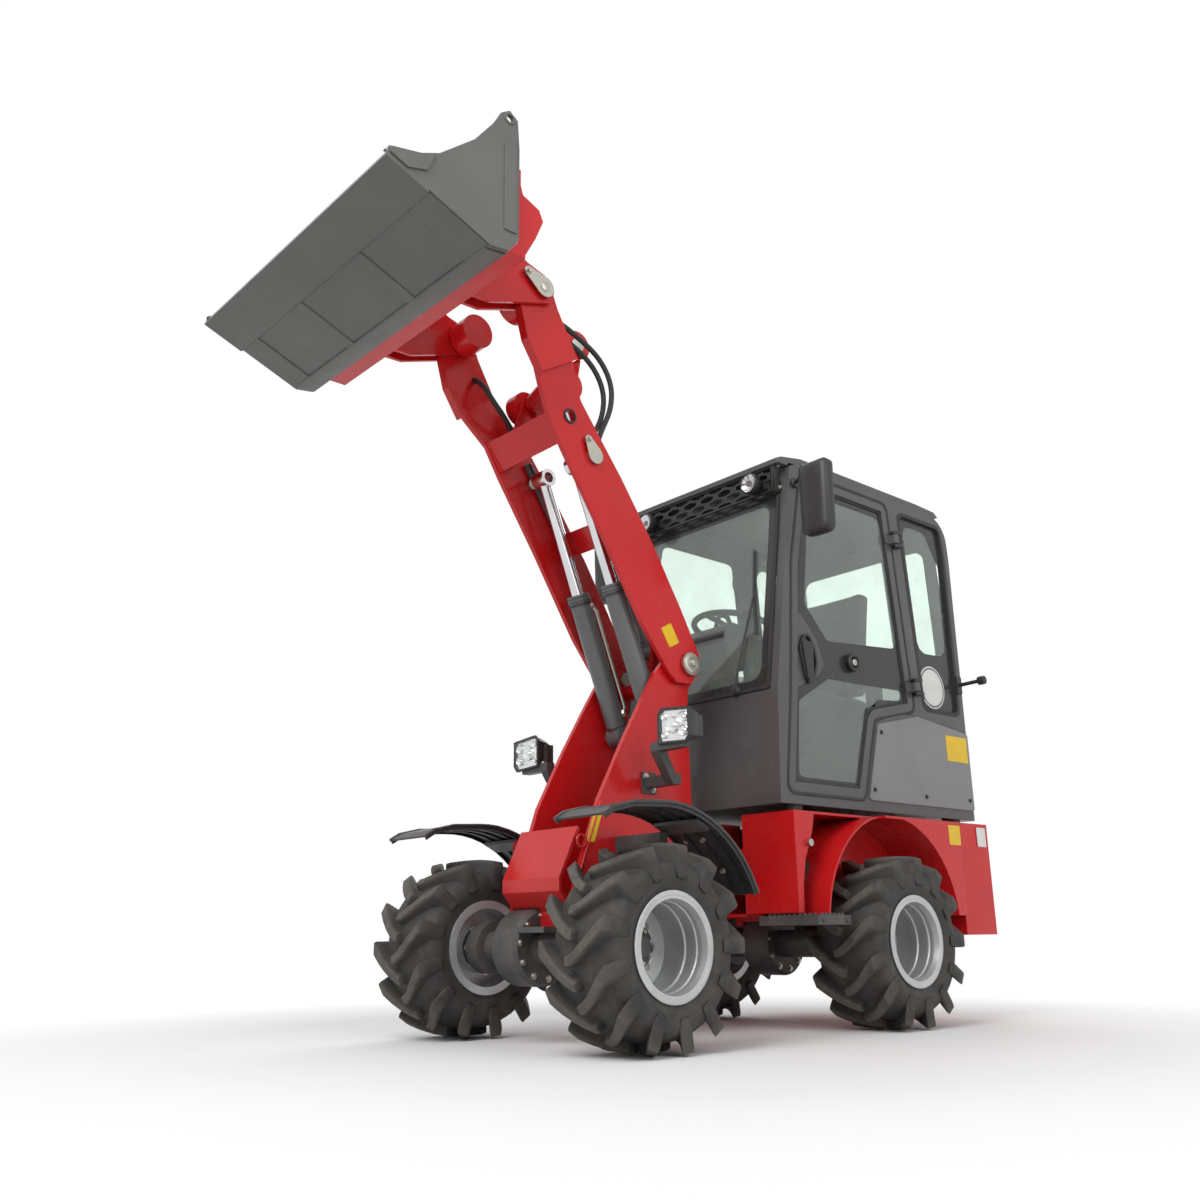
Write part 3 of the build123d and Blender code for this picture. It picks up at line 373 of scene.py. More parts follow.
def hose_sleeve(name, colour):
    """Woven abrasion sleeve over a hydraulic hose."""
    f = Finish(name)
    tone = f.noise(30.0, 5.0)
    f.link(f.mix(tone, (0.010, 0.010, 0.010), colour), "Base Color")
    f.link(f.blend(tone, 0.55, 0.8), "Roughness")
    weave = node(f.tree, "ShaderNodeTexChecker", Scale=260.0, Vector=f.coords).outputs["Fac"]
    return f.bump(weave, 0.35, 0.0006)


def build_finishes():
    c = bpy.context.scene.loader_colours
    GROUPS.update(worn_edges=edges_group(), settled_dust=dust_group(), surface_grain=grain_group())
    pale = (0.3, 0.3, 0.3)
    mirror = dict(scratch=30.0, dust=0.0)
    label = dict(roughness=0.38, coat=0.2, wear=0.1, dust=0.1)
    for name, make, colour, values in (
            ("red_paint", paint, c.red,
             dict(roughness=0.30, coat=0.22, dust=0.06, bare=(0.35, 0.05, 0.04), wear=0.3)),
            ("cab_paint", paint, c.cab, dict(roughness=0.34, coat=0.2, dust=0.06, bare=(0.18, 0.18, 0.18))),
            ("panel_grey", paint, c.panel, dict(roughness=0.36, coat=0.3, dust=0.08, bare=pale)),
            ("bucket_grey", paint, c.bucket,
             dict(roughness=0.42, coat=0.15, wear=0.5, dust=0.1, bare=(0.26, 0.25, 0.23))),
            ("dark_steel", paint, (0.055, 0.055, 0.058), dict(roughness=0.45, coat=0.1, dust=0.3)),
            ("rim_silver", bare_metal, c.rim, dict(roughness=0.36, scratch=40.0, metallic=0.55, dust=0.10)),
            ("tyre_rubber", tyre_rubber, c.tyre, dict(worn=c.worn)),
            ("glass", window_glass, (0.66, 0.73, 0.69), dict(smeared=(0.56, 0.62, 0.58), through=0.86)),
            ("lamp_cover", window_glass, (0.97, 0.97, 0.97), dict(smeared=(0.92, 0.93, 0.93), through=1.0)),
            ("black_plastic", moulded, (0.016, 0.016, 0.017), dict(roughness=0.45, dust=0.12)),
            ("zinc", bare_metal, (0.52, 0.50, 0.44), dict(roughness=0.34)),
            ("rod_chrome", bare_metal, (0.75, 0.76, 0.78), dict(roughness=0.14, **mirror)),
            ("cylinder_grey", paint, (0.115, 0.12, 0.125), dict(roughness=0.36, coat=0.25)),
            ("seat_fabric", seat_cloth, (0.030, 0.030, 0.032), {}),
            ("lamp", lamp_lens, (0.86, 0.88, 0.89), {}),
            ("red_lens", lamp_lens, (0.55, 0.02, 0.015), {}),
            ("yellow_paint", paint, (0.80, 0.42, 0.01), dict(roughness=0.35, coat=0.3, bare=(0.25, 0.22, 0.18))),
            ("rubber", moulded, (0.016, 0.016, 0.016), dict(roughness=0.62, grain=180.0)),
            ("hose_sleeve", hose_sleeve, (0.032, 0.031, 0.030), {}),
            ("glass_print", paint, (0.034, 0.035, 0.035), dict(roughness=0.24, coat=0.15, wear=0.0, dust=0.02)),
            ("black_gloss", paint, (0.024, 0.024, 0.025), dict(roughness=0.22, coat=0.5, dust=0.08, bare=pale)),
            ("patch_yellow", paint, (0.78, 0.50, 0.01), label),
            ("patch_white", paint, (0.72, 0.72, 0.70), label),
            ("reflector", bare_metal, (0.86, 0.87, 0.88), dict(roughness=0.12, **mirror))):
        FINISH[name] = make(name, colour, **values)


# Mesh helpers

def piece_from(bm, name, finish, body, smooth_angle=35.0):
    """Turns a bmesh into a finished piece that rides on a body."""
    bmesh.ops.remove_doubles(bm, verts=bm.verts, dist=1e-6)
    bmesh.ops.recalc_face_normals(bm, faces=bm.faces)
    mesh = bpy.data.meshes.new(name)
    bm.to_mesh(mesh)
    bm.free()
    mesh.polygons.foreach_set("use_smooth", [True] * len(mesh.polygons))
    mesh.set_sharp_from_angle(angle=math.radians(smooth_angle))
    piece = bpy.data.objects.new(name, mesh)
    bpy.context.collection.objects.link(piece)
    mesh.materials.append(FINISH[finish])
    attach(piece, body)
    return piece


def loft(bm, rows, closed_rows=True, cap=True, wrap=False):
    """Faces between rows of points; a row is a ring unless closed_rows is off."""
    rings = [[bm.verts.new(p) for p in row] for row in rows]
    pairs = list(zip(rings, rings[1:] + (rings[:1] if wrap else [])))
    for near, far in pairs[:len(rings) if wrap else len(rings) - 1]:
        size = len(near)
        for i in range(size if closed_rows else size - 1):
            j = (i + 1) % size
            bm.faces.new((near[i], near[j], far[j], far[i]))
    if cap and not wrap and closed_rows:
        bm.faces.new(rings[0])
        bm.faces.new(rings[-1])
    return rings


# Tyres

BEAD_R = 0.154
STEPS_PER_LUG = 8


def tyre_profile(half, crown, bead_r):
    """Half of the carcass section as (radius, y), from the bead to the middle of the tread."""
    points = [(bead_r, half * 0.86), (bead_r + 0.014, half * 0.90), (bead_r + 0.030, half * 0.92)]
    shoulder = crown - 0.040
    for i in range(1, 9):
        t = i / 8
        r = bead_r + 0.030 + (shoulder - bead_r - 0.030) * t
        points.append((r, half * (0.92 + 0.08 * math.sin(math.pi * t * 0.85))))
    for i in range(1, 7):
        t = i / 6
        points.append((crown - 0.040 * (1 - t) ** 2, half * (0.957 - 0.957 * t * (0.55 + 0.45 * t))))
    return points


def around_hub(hub, r, angle, y):
    return hub + Vector((r * math.cos(angle), y, r * math.sin(angle)))


def lug_rows(hub, turn, sign, half, crown, height):
    """Sections of one tread bar from the middle of the tread, slanting back and over the shoulder."""
    rows = []

    def section(share, lead, corners):
        rows.append([around_hub(hub, r, turn + lead + w / crown, sign * half * share) for r, w in corners])

    stations = [(-0.10, 0.0, 0.013), (0.02, 0.010, 0.015), (0.25, 0.072, 0.0165), (0.48, 0.155, 0.018),
                (0.70, 0.245, 0.020), (0.88, 0.322, 0.022), (0.99, 0.362, 0.0225)]
    for share, lead, width in stations:
        low = crown - 0.020 - 0.030 * share ** 3
        top = crown + height - 0.007 * share ** 4
        flank = [(low, width + 0.010), (top - 0.013, width + 0.0035), (top - 0.003, width), (top, width - 0.003)]
        section(share, lead, [(r, -w) for r, w in flank] + flank[::-1])
    flank = [(crown - 0.085, 0.0255), (crown - 0.045, 0.0215), (crown - 0.022, 0.0195), (crown - 0.016, 0.0165)]
    section(1.03, 0.372, [(r, -w) for r, w in flank] + flank[::-1])
    return rows


def make_tyre(name, hub, plain):
    sizes = bpy.context.scene.loader_sizes
    low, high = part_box(plain)
    half = (high[1] - low[1]) / 2 - 0.004
    crown = (high[0] - low[0]) / 2 - sizes.lug_height + 0.0005
    bm = bmesh.new()
    section = tyre_profile(half, crown, BEAD_R)
    ring = [(r, -y) for r, y in section] + section[-2::-1] + [(BEAD_R, half * 0.5), (BEAD_R, -half * 0.5)]
    steps = sizes.lugs * STEPS_PER_LUG
    loft(bm, [[around_hub(hub, r, 2 * math.pi * i / steps, y) for r, y in ring] for i in range(steps)], wrap=True)
    pitch = 2 * math.pi / sizes.lugs
    for i in range(sizes.lugs):
        for sign, offset in ((1, 0.0), (-1, 0.5)):
            loft(bm, lug_rows(hub, -math.pi / 2 + (i + offset) * pitch, sign, half, crown, sizes.lug_height))
    tyre = piece_from(bm, name, "tyre_rubber", plain.replace("tyre", "wheel"), 32.0)
    tread = tyre.data.attributes.new("tread", "FLOAT", "POINT")
    for i, vertex in enumerate(tyre.data.vertices):
        reach = math.hypot(vertex.co.x - hub.x, vertex.co.z - hub.z) - crown
        tread.data[i].value = min(max((reach - 0.45 * sizes.lug_height) / (0.5 * sizes.lug_height), 0.0), 1.0)
    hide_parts(plain)


def make_tyres():
    for corner, hub in HUB.items():
        make_tyre("tread_" + corner, hub, "tyre_" + corner)


# Hoses

LEFT_ROUTE = [(852, 245, 2652), (836, 178, 2700), (748, 150, 2752), (633, 150, 2718), (509, 150, 2660),
              (444, 150, 2560), (452, 150, 2444), (514, 155, 2327), (560, 172, 2230), (566, 180, 2150)]
RIGHT_ROUTE = [(862, -245, 2600), (868, -180, 2562), (840, -150, 2486), (770, -150, 2420), (735, -150, 2370),
               (746, -150, 2318)]


def hose_routes():
    """The three hoses' control points, with the second left one beside the first."""
    second = [(826, 245, 2606)] + [(x + 18, y - 30, z - 20) for x, y, z in LEFT_ROUTE[1:-2]] + [(610, 191, 2290)]
    return {"hose_left_outer": LEFT_ROUTE, "hose_left_inner": second, "hose_right": RIGHT_ROUTE}


def spline_length(curve):
    plain = bpy.data.meshes.new_from_object(curve)
    ends = [[plain.vertices[i].co for i in edge.vertices] for edge in plain.edges]
    total = sum((a - b).length for a, b in ends)
    bpy.data.meshes.remove(plain)
    return total


def make_hose(name, route, diameter):
    data = bpy.data.curves.new(name, "CURVE")
    data.dimensions = "3D"
    spline = data.splines.new("NURBS")
    spline.points.add(len(route) - 1)
    for point, place in zip(spline.points, route):
        point.co = (*spot(*place), 1.0)
    spline.order_u = 3
    spline.use_endpoint_u = True
    spline.resolution_u = 10
    hose = bpy.data.objects.new(name, data)
    bpy.context.collection.objects.link(hose)
    length = spline_length(hose)
    data.bevel_depth = diameter / 2
    data.bevel_resolution = 4
    data.materials.append(FINISH["hose_sleeve"])
    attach(hose, "boom")
    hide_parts("boom_hoses")
    tuple(spot(*route[0]))


def make_hoses():
    for name, route in hose_routes().items():
        make_hose(name, route, bpy.context.scene.loader_sizes.hose_diameter)


# Plates, turned forms and edges

def prism(bm, outline, y0, y1):
    """A plate from a side-view outline in millimetres, between two widths."""
    loft(bm, [[spot(x, y, z) for x, z in outline] for y in (y0, y1)])


def facing(bm, outline, x0, x1):
    """A plate from a front-view outline of (y, z) in millimetres."""
    loft(bm, [[spot(x, y, z) for y, z in outline] for x in (x0, x1)])


def upright(x0, x1, z0, z1):
    """The outline of an upright rectangle."""
    return [(x0, z0), (x1, z0), (x1, z1), (x0, z1)]


def slab(bm, x0, x1, y0, y1, z0, z1):
    prism(bm, upright(x0, x1, z0, z1), y0, y1)


def soften(bm, width, segments=2):
    """Rounds the sharp edges of everything in the mesh so far."""
    sharp = [edge for edge in bm.edges if len(edge.link_faces) == 2 and edge.calc_face_angle(0.0) > 0.5]
    bmesh.ops.bevel(bm, geom=sharp, offset=width * MM, segments=segments, profile=0.5, affect="EDGES",
                    clamp_overlap=True)


def turned(bm, centre, axis, profile, steps=28, ring=False):
    """A lathe-turned form: (radius, height) points in millimetres about an axis."""
    axis = Vector(axis).normalized()
    across = axis.orthogonal().normalized()
    beside = axis.cross(across)
    rows = []
    for r, h in profile:
        turns = [2 * math.pi * i / steps for i in range(steps)]
        rows.append([centre + axis * h * MM + (across * math.cos(t) + beside * math.sin(t)) * r * MM for t in turns])
    loft(bm, rows, wrap=ring)


def knob(bm, sign, place, profile, steps=28, ring=False):
    """A turned form that faces outwards on one side, at (x, distance from the middle, z)."""
    x, y, z = place
    turned(bm, spot(x, sign * y, z), (0, sign, 0), profile, steps, ring)


def tube(bm, points, radius, sides=10, ripple=0.0):
    """A round bar through points in metres; ripple swells every other section, as on a weld."""
    ways = [(b - a).normalized() for a, b in zip(points, points[1:])]
    across = ways[0].orthogonal().normalized()
    rows = []
    for i, point in enumerate(points):
        way = ways[0] if i == 0 else ways[-1] if i == len(points) - 1 else (ways[i - 1] + ways[i]).normalized()
        across = (across - way * across.dot(way)).normalized()
        beside = way.cross(across)
        r = radius * MM * (1 + ripple * (-1) ** i)
        turns = [2 * math.pi * k / sides for k in range(sides)]
        rows.append([point + (across * math.cos(t) + beside * math.sin(t)) * r for t in turns])
    loft(bm, rows)


def bead(bm, path, radius=4.5, step=9.0):
    """A weld bead along points in millimetres."""
    points = []
    for a, b in zip(path, path[1:]):
        a, b = spot(*a), spot(*b)
        steps = max(2, int((b - a).length / (step * MM)))
        points += [a.lerp(b, i / steps) for i in range(steps)]
    tube(bm, points + [spot(*path[-1])], radius, 6, 0.14)


def rounded(outline, radius, steps=5):
    """The outline with its corners turned into arcs."""
    points = []
    for i, corner in enumerate(outline):
        here = Vector(corner)
        back = Vector(outline[i - 1]) - here
        ahead = Vector(outline[(i + 1) % len(outline)]) - here
        half = back.angle(ahead) / 2
        cut = min(radius / math.tan(half), back.length * 0.45, ahead.length * 0.45)
        middle = (back.normalized() + ahead.normalized()).normalized()
        centre = here + middle * cut / math.cos(half)
        start = here + back.normalized() * cut - centre
        end = here + ahead.normalized() * cut - centre
        turn = math.atan2(start.x * end.y - start.y * end.x, start.dot(end))
        for k in range(steps + 1):
            c, s = math.cos(turn * k / steps), math.sin(turn * k / steps)
            points.append((centre.x + c * start.x - s * start.y, centre.y + s * start.x + c * start.y))
    return points


def shrunk(outline, amount):
    """The outline moved inwards by an amount on every side."""
    points = [Vector(p) for p in outline]
    area = sum(a.x * b.y - a.y * b.x for a, b in zip(points, points[1:] + points[:1]))
    sense = 1 if area > 0 else -1
    moved = []
    for i, here in enumerate(points):
        before = (here - points[i - 1]).normalized()
        after = (points[(i + 1) % len(points)] - here).normalized()
        n1 = Vector((-before.y, before.x)) * sense
        n2 = Vector((-after.y, after.x)) * sense
        moved.append(tuple(here + (n1 + n2) * amount / (1 + n1.dot(n2))))
    return moved


def band(bm, outer, inner, place):
    """A flat frame between two outlines; place(u, v, side) gives its points, side 0 or 1."""
    rows = [[place(u, v, side) for u, v in line] for line, side in ((outer, 0), (outer, 1), (inner, 1), (inner, 0))]
    loft(bm, rows, wrap=True)


def holed_plate(bm, outer, holes, place):
    """A thin plate with openings; place(u, v, side) gives its points, side 0 or 1."""
    edges = []
    for line in [outer] + holes:
        ring = [bm.verts.new(place(u, v, 0)) for u, v in line]
        edges += [bm.edges.new((ring[i - 1], ring[i])) for i in range(len(ring))]
    made = bmesh.ops.triangle_fill(bm, use_beauty=True, edges=edges)
    faces = [g for g in made["geom"] if isinstance(g, bmesh.types.BMFace)]
    step = Vector(place(0, 0, 1)) - Vector(place(0, 0, 0))
    copy = bmesh.ops.extrude_face_region(bm, geom=faces, use_keep_orig=True)
    bmesh.ops.translate(bm, vec=step, verts=[g for g in copy["geom"] if isinstance(g, bmesh.types.BMVert)])


def flat(sign, y, thick):
    """Places on one side's wall: its inner face at this distance from the middle, and its thickness."""
    return lambda u, v, far: spot(u, sign * (y + far * thick), v)


def both_sides(make):
    """Calls make with the side's name and its sign."""
    for side, sign in (("left", 1), ("right", -1)):
        make(side, sign)


# Geometry node trees

TREES = {}


def node_tree(name, inputs):
    """A geometry tree that realizes and coats what it is given, its input sockets and its last socket."""
    tree = bpy.data.node_groups.new(name, "GeometryNodeTree")
    tree.interface.new_socket("Geometry", in_out="INPUT", socket_type="NodeSocketGeometry")
    for label, kind in inputs.items():
        tree.interface.new_socket(label, in_out="INPUT", socket_type="NodeSocket" + kind)
    tree.interface.new_socket("Geometry", in_out="OUTPUT", socket_type="NodeSocketGeometry")
    given = node(tree, "NodeGroupInput").outputs
    realize = node(tree, "GeometryNodeRealizeInstances")
    coat = node(tree, "GeometryNodeSetMaterial", Geometry=realize.outputs[0], Material=given["Finish"])
    node(tree, "NodeGroupOutput", Geometry=coat.outputs[0])
    return tree, given, realize.inputs[0]


def lifted(tree, mesh, height):
    """Moves a mesh along Z by a socket's value."""
    place = node(tree, "ShaderNodeCombineXYZ", Z=height).outputs[0]
    return node(tree, "GeometryNodeTransform", Translation=place, Geometry=mesh).outputs[0]


def bolt_tree():
    """Hexagon heads with a chamfer and a washer on points that hold their outward way."""
    tree, given, end = node_tree("hexagon_bolts", {"Width": "Float", "Finish": "Material"})

    def times(a, b):
        return math_node(tree, "MULTIPLY", a, b)

    radius = times(given["Width"], 0.577)
    height = times(given["Width"], 0.42)
    join = node(tree, "GeometryNodeJoinGeometry")
    for sides, wide, tall, base in ((16, 1.45, 0.26, 0.13), (6, 1.0, 1.0, 0.70)):
        part = node(tree, "GeometryNodeMeshCylinder", Vertices=sides, Radius=times(radius, wide),
                    Depth=times(height, tall))
        feed(tree, join.inputs[0], lifted(tree, part.outputs["Mesh"], times(height, base)))
    crown = node(tree, "GeometryNodeMeshCone", Vertices=6, Radius_Bottom=radius, Radius_Top=times(radius, 0.80),
                 Depth=times(height, 0.22))
    feed(tree, join.inputs[0], lifted(tree, crown.outputs["Mesh"], times(height, 1.2)))
    way = node(tree, "GeometryNodeInputNamedAttribute", {"data_type": "FLOAT_VECTOR"}, Name="way")
    aim = node(tree, "FunctionNodeAlignRotationToVector", {"axis": "Z"}, Vector=way.outputs["Attribute"])
    spread = node(tree, "GeometryNodeInstanceOnPoints", Points=given["Geometry"], Instance=join.outputs[0],
                  Rotation=aim.outputs[0])
    feed(tree, end, spread.outputs[0])
    return tree


def mesh_tree():
    """Stretched hexagon rings side by side: a sheet with staggered openings."""
    inputs = {"Radius": "Float", "Opening": "Float", "Columns": "Int", "Rows": "Int", "Stretch": "Float",
              "Finish": "Material"}
    tree, given, end = node_tree("hexagon_mesh", inputs)

    def times(a, b):
        return math_node(tree, "MULTIPLY", a, b)

    def less(a, b):
        return math_node(tree, "SUBTRACT", a, b)

    pitch = times(times(given["Radius"], math.sqrt(3)), given["Stretch"])
    rise = times(given["Radius"], 1.5)
    grid = node(tree, "GeometryNodeMeshGrid", Vertices_X=given["Columns"], Vertices_Y=given["Rows"],
                Size_X=times(pitch, less(given["Columns"], 1.0)), Size_Y=times(rise, less(given["Rows"], 1.0)))
    index = node(tree, "GeometryNodeInputIndex").outputs[0]
    odd = math_node(tree, "MODULO", math_node(tree, "MODULO", index, given["Rows"]), 2.0)
    shift = node(tree, "ShaderNodeCombineXYZ", X=times(less(odd, 0.5), times(pitch, 0.5)))
    stagger = node(tree, "GeometryNodeSetPosition", Geometry=grid.outputs["Mesh"], Offset=shift.outputs[0])
    join = node(tree, "GeometryNodeJoinGeometry")
    for size in (given["Radius"], times(given["Radius"], given["Opening"])):
        ring = node(tree, "GeometryNodeCurvePrimitiveCircle", Resolution=6, Radius=size)
        feed(tree, join.inputs[0], ring.outputs["Curve"])
    pointed = node(tree, "GeometryNodeTransform", Rotation=(0.0, 0.0, math.pi / 6), Geometry=join.outputs[0])
    fill = node(tree, "GeometryNodeFillCurve", Curve=pointed.outputs[0])
    wide = node(tree, "ShaderNodeCombineXYZ", X=given["Stretch"], Y=1.0, Z=1.0)
    spread = node(tree, "GeometryNodeInstanceOnPoints", Points=stagger.outputs[0], Instance=fill.outputs[0],
                  Scale=wide.outputs[0])
    feed(tree, end, spread.outputs[0])
    return tree


def grown(name, points, tree, values):
    """A bmesh of what a geometry tree makes from (point, way) pairs."""
    mesh = bpy.data.meshes.new(name)
    mesh.from_pydata([tuple(p) for p, _ in points], [], [])
    ways = mesh.attributes.new("way", "FLOAT_VECTOR", "POINT")
    for entry, (_, way) in zip(ways.data, points):
        entry.vector = way
    seed = bpy.data.objects.new(name, mesh)
    bpy.context.collection.objects.link(seed)
    modifier = seed.modifiers.new("repeat", "NODES")
    modifier.node_group = tree
    for item in tree.interface.items_tree:
        if item.in_out == "INPUT" and item.name in values:
            modifier[item.identifier] = values[item.name]
    shape = bpy.data.meshes.new_from_object(seed.evaluated_get(bpy.context.evaluated_depsgraph_get()))
    bm = bmesh.new()
    bm.from_mesh(shape)
    bpy.data.objects.remove(seed)
    bpy.data.meshes.remove(mesh)
    bpy.data.meshes.remove(shape)
    return bm


def bolts(name, body, places, width, finish="zinc"):
    """One piece of hexagon bolts at (point, outward way) places; width in millimetres."""
    bm = grown(name, places, TREES["bolts"], {"Width": width * MM, "Finish": FINISH[finish]})
    piece_from(bm, name, finish, body)


def ring_of(centre, axis, radius, number, start=0.0):
    """Bolt places on a circle in millimetres about an axis."""
    axis = Vector(axis).normalized()
    across = axis.orthogonal().normalized()
    beside = axis.cross(across)
    turns = [start + 2 * math.pi * i / number for i in range(number)]
    return [(centre + (across * math.cos(t) + beside * math.sin(t)) * radius * MM, axis) for t in turns]


def side_places(points, y, signs=(1, -1)):
    """Bolt places at side-view points, facing outwards at this distance from the middle."""
    return [(spot(x, sign * y, z), Vector((0, sign, 0))) for sign in signs for x, z in points]


# Wheel fittings

DISC_IN = 88


def fit_wheel(corner, hub):
    sizes = bpy.context.scene.loader_sizes
    out = Vector((0, 1 if corner.endswith("left") else -1, 0))
    body = "wheel_" + corner
    face = hub - out * DISC_IN * MM
    bm = bmesh.new()
    turned(bm, face, out, [(70, 40), (70, 55), (64, 62), (44, 65), (40, 80), (33, 86), (8, 88)])
    piece_from(bm, "hub_cover_" + corner, "dark_steel", body)
    bm = bmesh.new()
    turned(bm, hub, out, [(144, 22), (139, 28), (139, 46), (144, 52)], 56, True)
    turned(bm, hub, out, [(144, 84), (140, 89), (140, 100), (144, 105)], 56, True)
    turned(bm, hub, out, [(173.5, 138), (176, 141), (176, 144), (171, 145.5), (160, 144), (164, 139)], 56, True)
    piece_from(bm, "rim_steps_" + corner, "rim_silver", body)
    nuts = ring_of(face + out * 23 * MM, out, 88, sizes.wheel_nuts)
    bolts("wheel_nuts_" + corner, body, nuts, sizes.bolt_width / MM)
    bolts("hub_bolts_" + corner, body, ring_of(face + out * 62 * MM, out, 54, 8, 0.3), 13)
    bm = bmesh.new()
    valve = ring_of(face + out * 30 * MM, out, 118, 1, 1.1)[0][0]
    turned(bm, valve, out, [(7, -4), (7, 12), (5, 16), (5, 34), (6.5, 35), (6.5, 46), (4, 48)], 12)
    piece_from(bm, "valve_" + corner, "rubber", body)


def fit_wheels():
    for corner, hub in HUB.items():
        fit_wheel(corner, hub)


def fit_axles():
    for body, end in (("front_frame", "front"), ("rear_frame", "rear")):
        middle = (HUB[end + "_left"] + HUB[end + "_right"]) / 2
        places = []
        for y, way in ((-160, -1), (-15, 1)):
            places += ring_of(middle + Vector((0, y * MM, 0)), (0, way, 0), 110, 10)
        for sign in (1, -1):
            places += ring_of(middle + Vector((0, sign * 371 * MM, 0)), (0, sign, 0), 88, 8)
        bolts(end + "_axle_bolts", body, places, 15)


# Bucket, boom and cylinders

# Side-view points and distances from the middle, in millimetres
LIFT_BASE = (205, 1150)
LIFT_HEAD = (604, 2177)
LIFT_Y = 105
LIP = (1844, 2698)
HEEL = [(1446, 2537), (1377, 2547), (1332, 2604)]
BUCKET_Y = 676
FLOOR_WAY = Vector((HEEL[0][0] - LIP[0], HEEL[0][1] - LIP[1])).normalized()
FLOOR_DOWN = Vector((-FLOOR_WAY.y, FLOOR_WAY.x))


def under_floor(along, down):
    """A side-view point on the bucket's floor: from the lip backwards, and below the sheet."""
    point = Vector(LIP) + FLOOR_WAY * along + FLOOR_DOWN * down
    return point.x, point.y


def floor_plate(bm, along0, along1, y0, y1, thick, start=0.0):
    prism(bm, [under_floor(along0, start), under_floor(along1, start), under_floor(along1, start + thick),
               under_floor(along0, start + thick)], y0, y1)


def fit_bucket():
    bm = bmesh.new()
    for sign in (1, -1):
        floor_plate(bm, 176, 424, sign * 545, sign * 670, 4)
        floor_plate(bm, 176, 424, sign * 190, sign * 235, 5)
        gusset = [(1834, 2722), (1727, 2748), (1668, 2772), (1700, 2698), (1770, 2676), (1834, 2702)]
        prism(bm, gusset, sign * BUCKET_Y, sign * (BUCKET_Y + 7))
        strip = [(1345, 2620), (1395, 2620), (1395, 2950), (1345, 2990)]
        prism(bm, strip, sign * (BUCKET_Y - 1), sign * (BUCKET_Y + 5))
    heel = [(HEEL[0][0] + 14, HEEL[0][1] + 4), HEEL[0], HEEL[1], (HEEL[1][0] - 12, HEEL[1][1] + 15)]
    prism(bm, heel + [(x - 1, z - 8) for x, z in reversed(heel)], -655, 655)
    soften(bm, 1.5, 1)
    piece_from(bm, "bucket_plates", "bucket_grey", "bucket")
    bm = bmesh.new()
    edge = under_floor(172, 3)
    bead(bm, [(edge[0], -668, edge[1]), (edge[0], 668, edge[1])])
    for sign in (1, -1):
        y = sign * (BUCKET_Y - 12)
        bead(bm, [(x, y, z) for x, z in [under_floor(180, 0)] + HEEL + [(1331, 2940)]])
        inner = [(1846, 2714), (1450, 2552), (1384, 2561), (1346, 2610), (1346, 2950)]
        bead(bm, [(x, sign * (BUCKET_Y - 15), z) for x, z in inner], 5)
        for y in (545, 190, 235):
            ends = [under_floor(178, 2), under_floor(422, 2)]
            bead(bm, [(x, sign * y, z) for x, z in ends], 3.5)
        knob(bm, sign, (1375, BUCKET_Y, 3062), [(15, 0), (15, 3), (20, 3.5), (24, 1)], 24, True)
    piece_from(bm, "bucket_welds", "bucket_grey", "bucket", 60)


def teardrop(bm, centre, tip, y0, y1, r0=42, r1=20):
    """A keeper plate round a pin, drawn out to its bolt; side-view points in millimetres."""
    c, t = Vector(centre), Vector(tip)
    angle = math.atan2(t.y - c.y, t.x - c.x)
    lean = math.acos((r0 - r1) / (t - c).length)
    outline = []
    for k in range(17):
        a = angle + lean + (2 * math.pi - 2 * lean) * k / 16
        outline.append((c.x + r0 * math.cos(a), c.y + r0 * math.sin(a)))
    for k in range(7):
        a = angle - lean + 2 * lean * k / 6
        outline.append((t.x + r1 * math.cos(a), t.y + r1 * math.sin(a)))
    prism(bm, outline, y0, y1)


def mm_of(point):
    return (point.x - STEER_X) / MM, point.z / MM


def fit_pins():
    head = mm_of(COUPLER_PIVOT)
    tip = (head[0] + 78, head[1] + 38)
    lift_tip = (640, 2235)
    bm = bmesh.new()
    for sign in (1, -1):
        teardrop(bm, head, tip, sign * 318.5, sign * 325)
        knob(bm, sign, (tip[0], 306, tip[1]), [(15, 0), (15, 12.5)], 18)
        knob(bm, sign, (head[0], 325, head[1]), [(20, 0), (20, 3), (17, 5)], 24)
    soften(bm, 1.2, 1)
    piece_from(bm, "coupler_keepers", "zinc", "bucket")
    bolts("coupler_keeper_bolts", "bucket", side_places([tip], 325), 19)
    bm = bmesh.new()
    for sign in (1, -1):
        teardrop(bm, LIFT_HEAD, lift_tip, sign * 221.5, sign * 227, 36, 17)
        knob(bm, sign, (lift_tip[0], 211, lift_tip[1]), [(12, 0), (12, 11)], 18)
    soften(bm, 1.0, 1)
    piece_from(bm, "lift_keepers", "zinc", "boom")
    bolts("lift_keeper_bolts", "boom", side_places([lift_tip], 227), 17)
    pivot = mm_of(BOOM_PIVOT)
    bm = bmesh.new()
    for sign in (1, -1):
        knob(bm, sign, (pivot[0], 231, pivot[1]), [(40, 0), (40, 3), (36, 5), (24, 5), (22, 2)], 36)
    piece_from(bm, "boom_pin_caps", "zinc", "front_frame")
    bolts("boom_pin_bolts", "front_frame", side_places([pivot], 233), 24)
    bm = bmesh.new()
    top = mm_of(LEVER_TOP)
    for sign in (1, -1):
        knob(bm, sign, (top[0], 104, top[1]), [(30, 0), (30, 3), (26, 4.5)], 24)
    piece_from(bm, "link_pin_caps", "zinc", "link_pin")


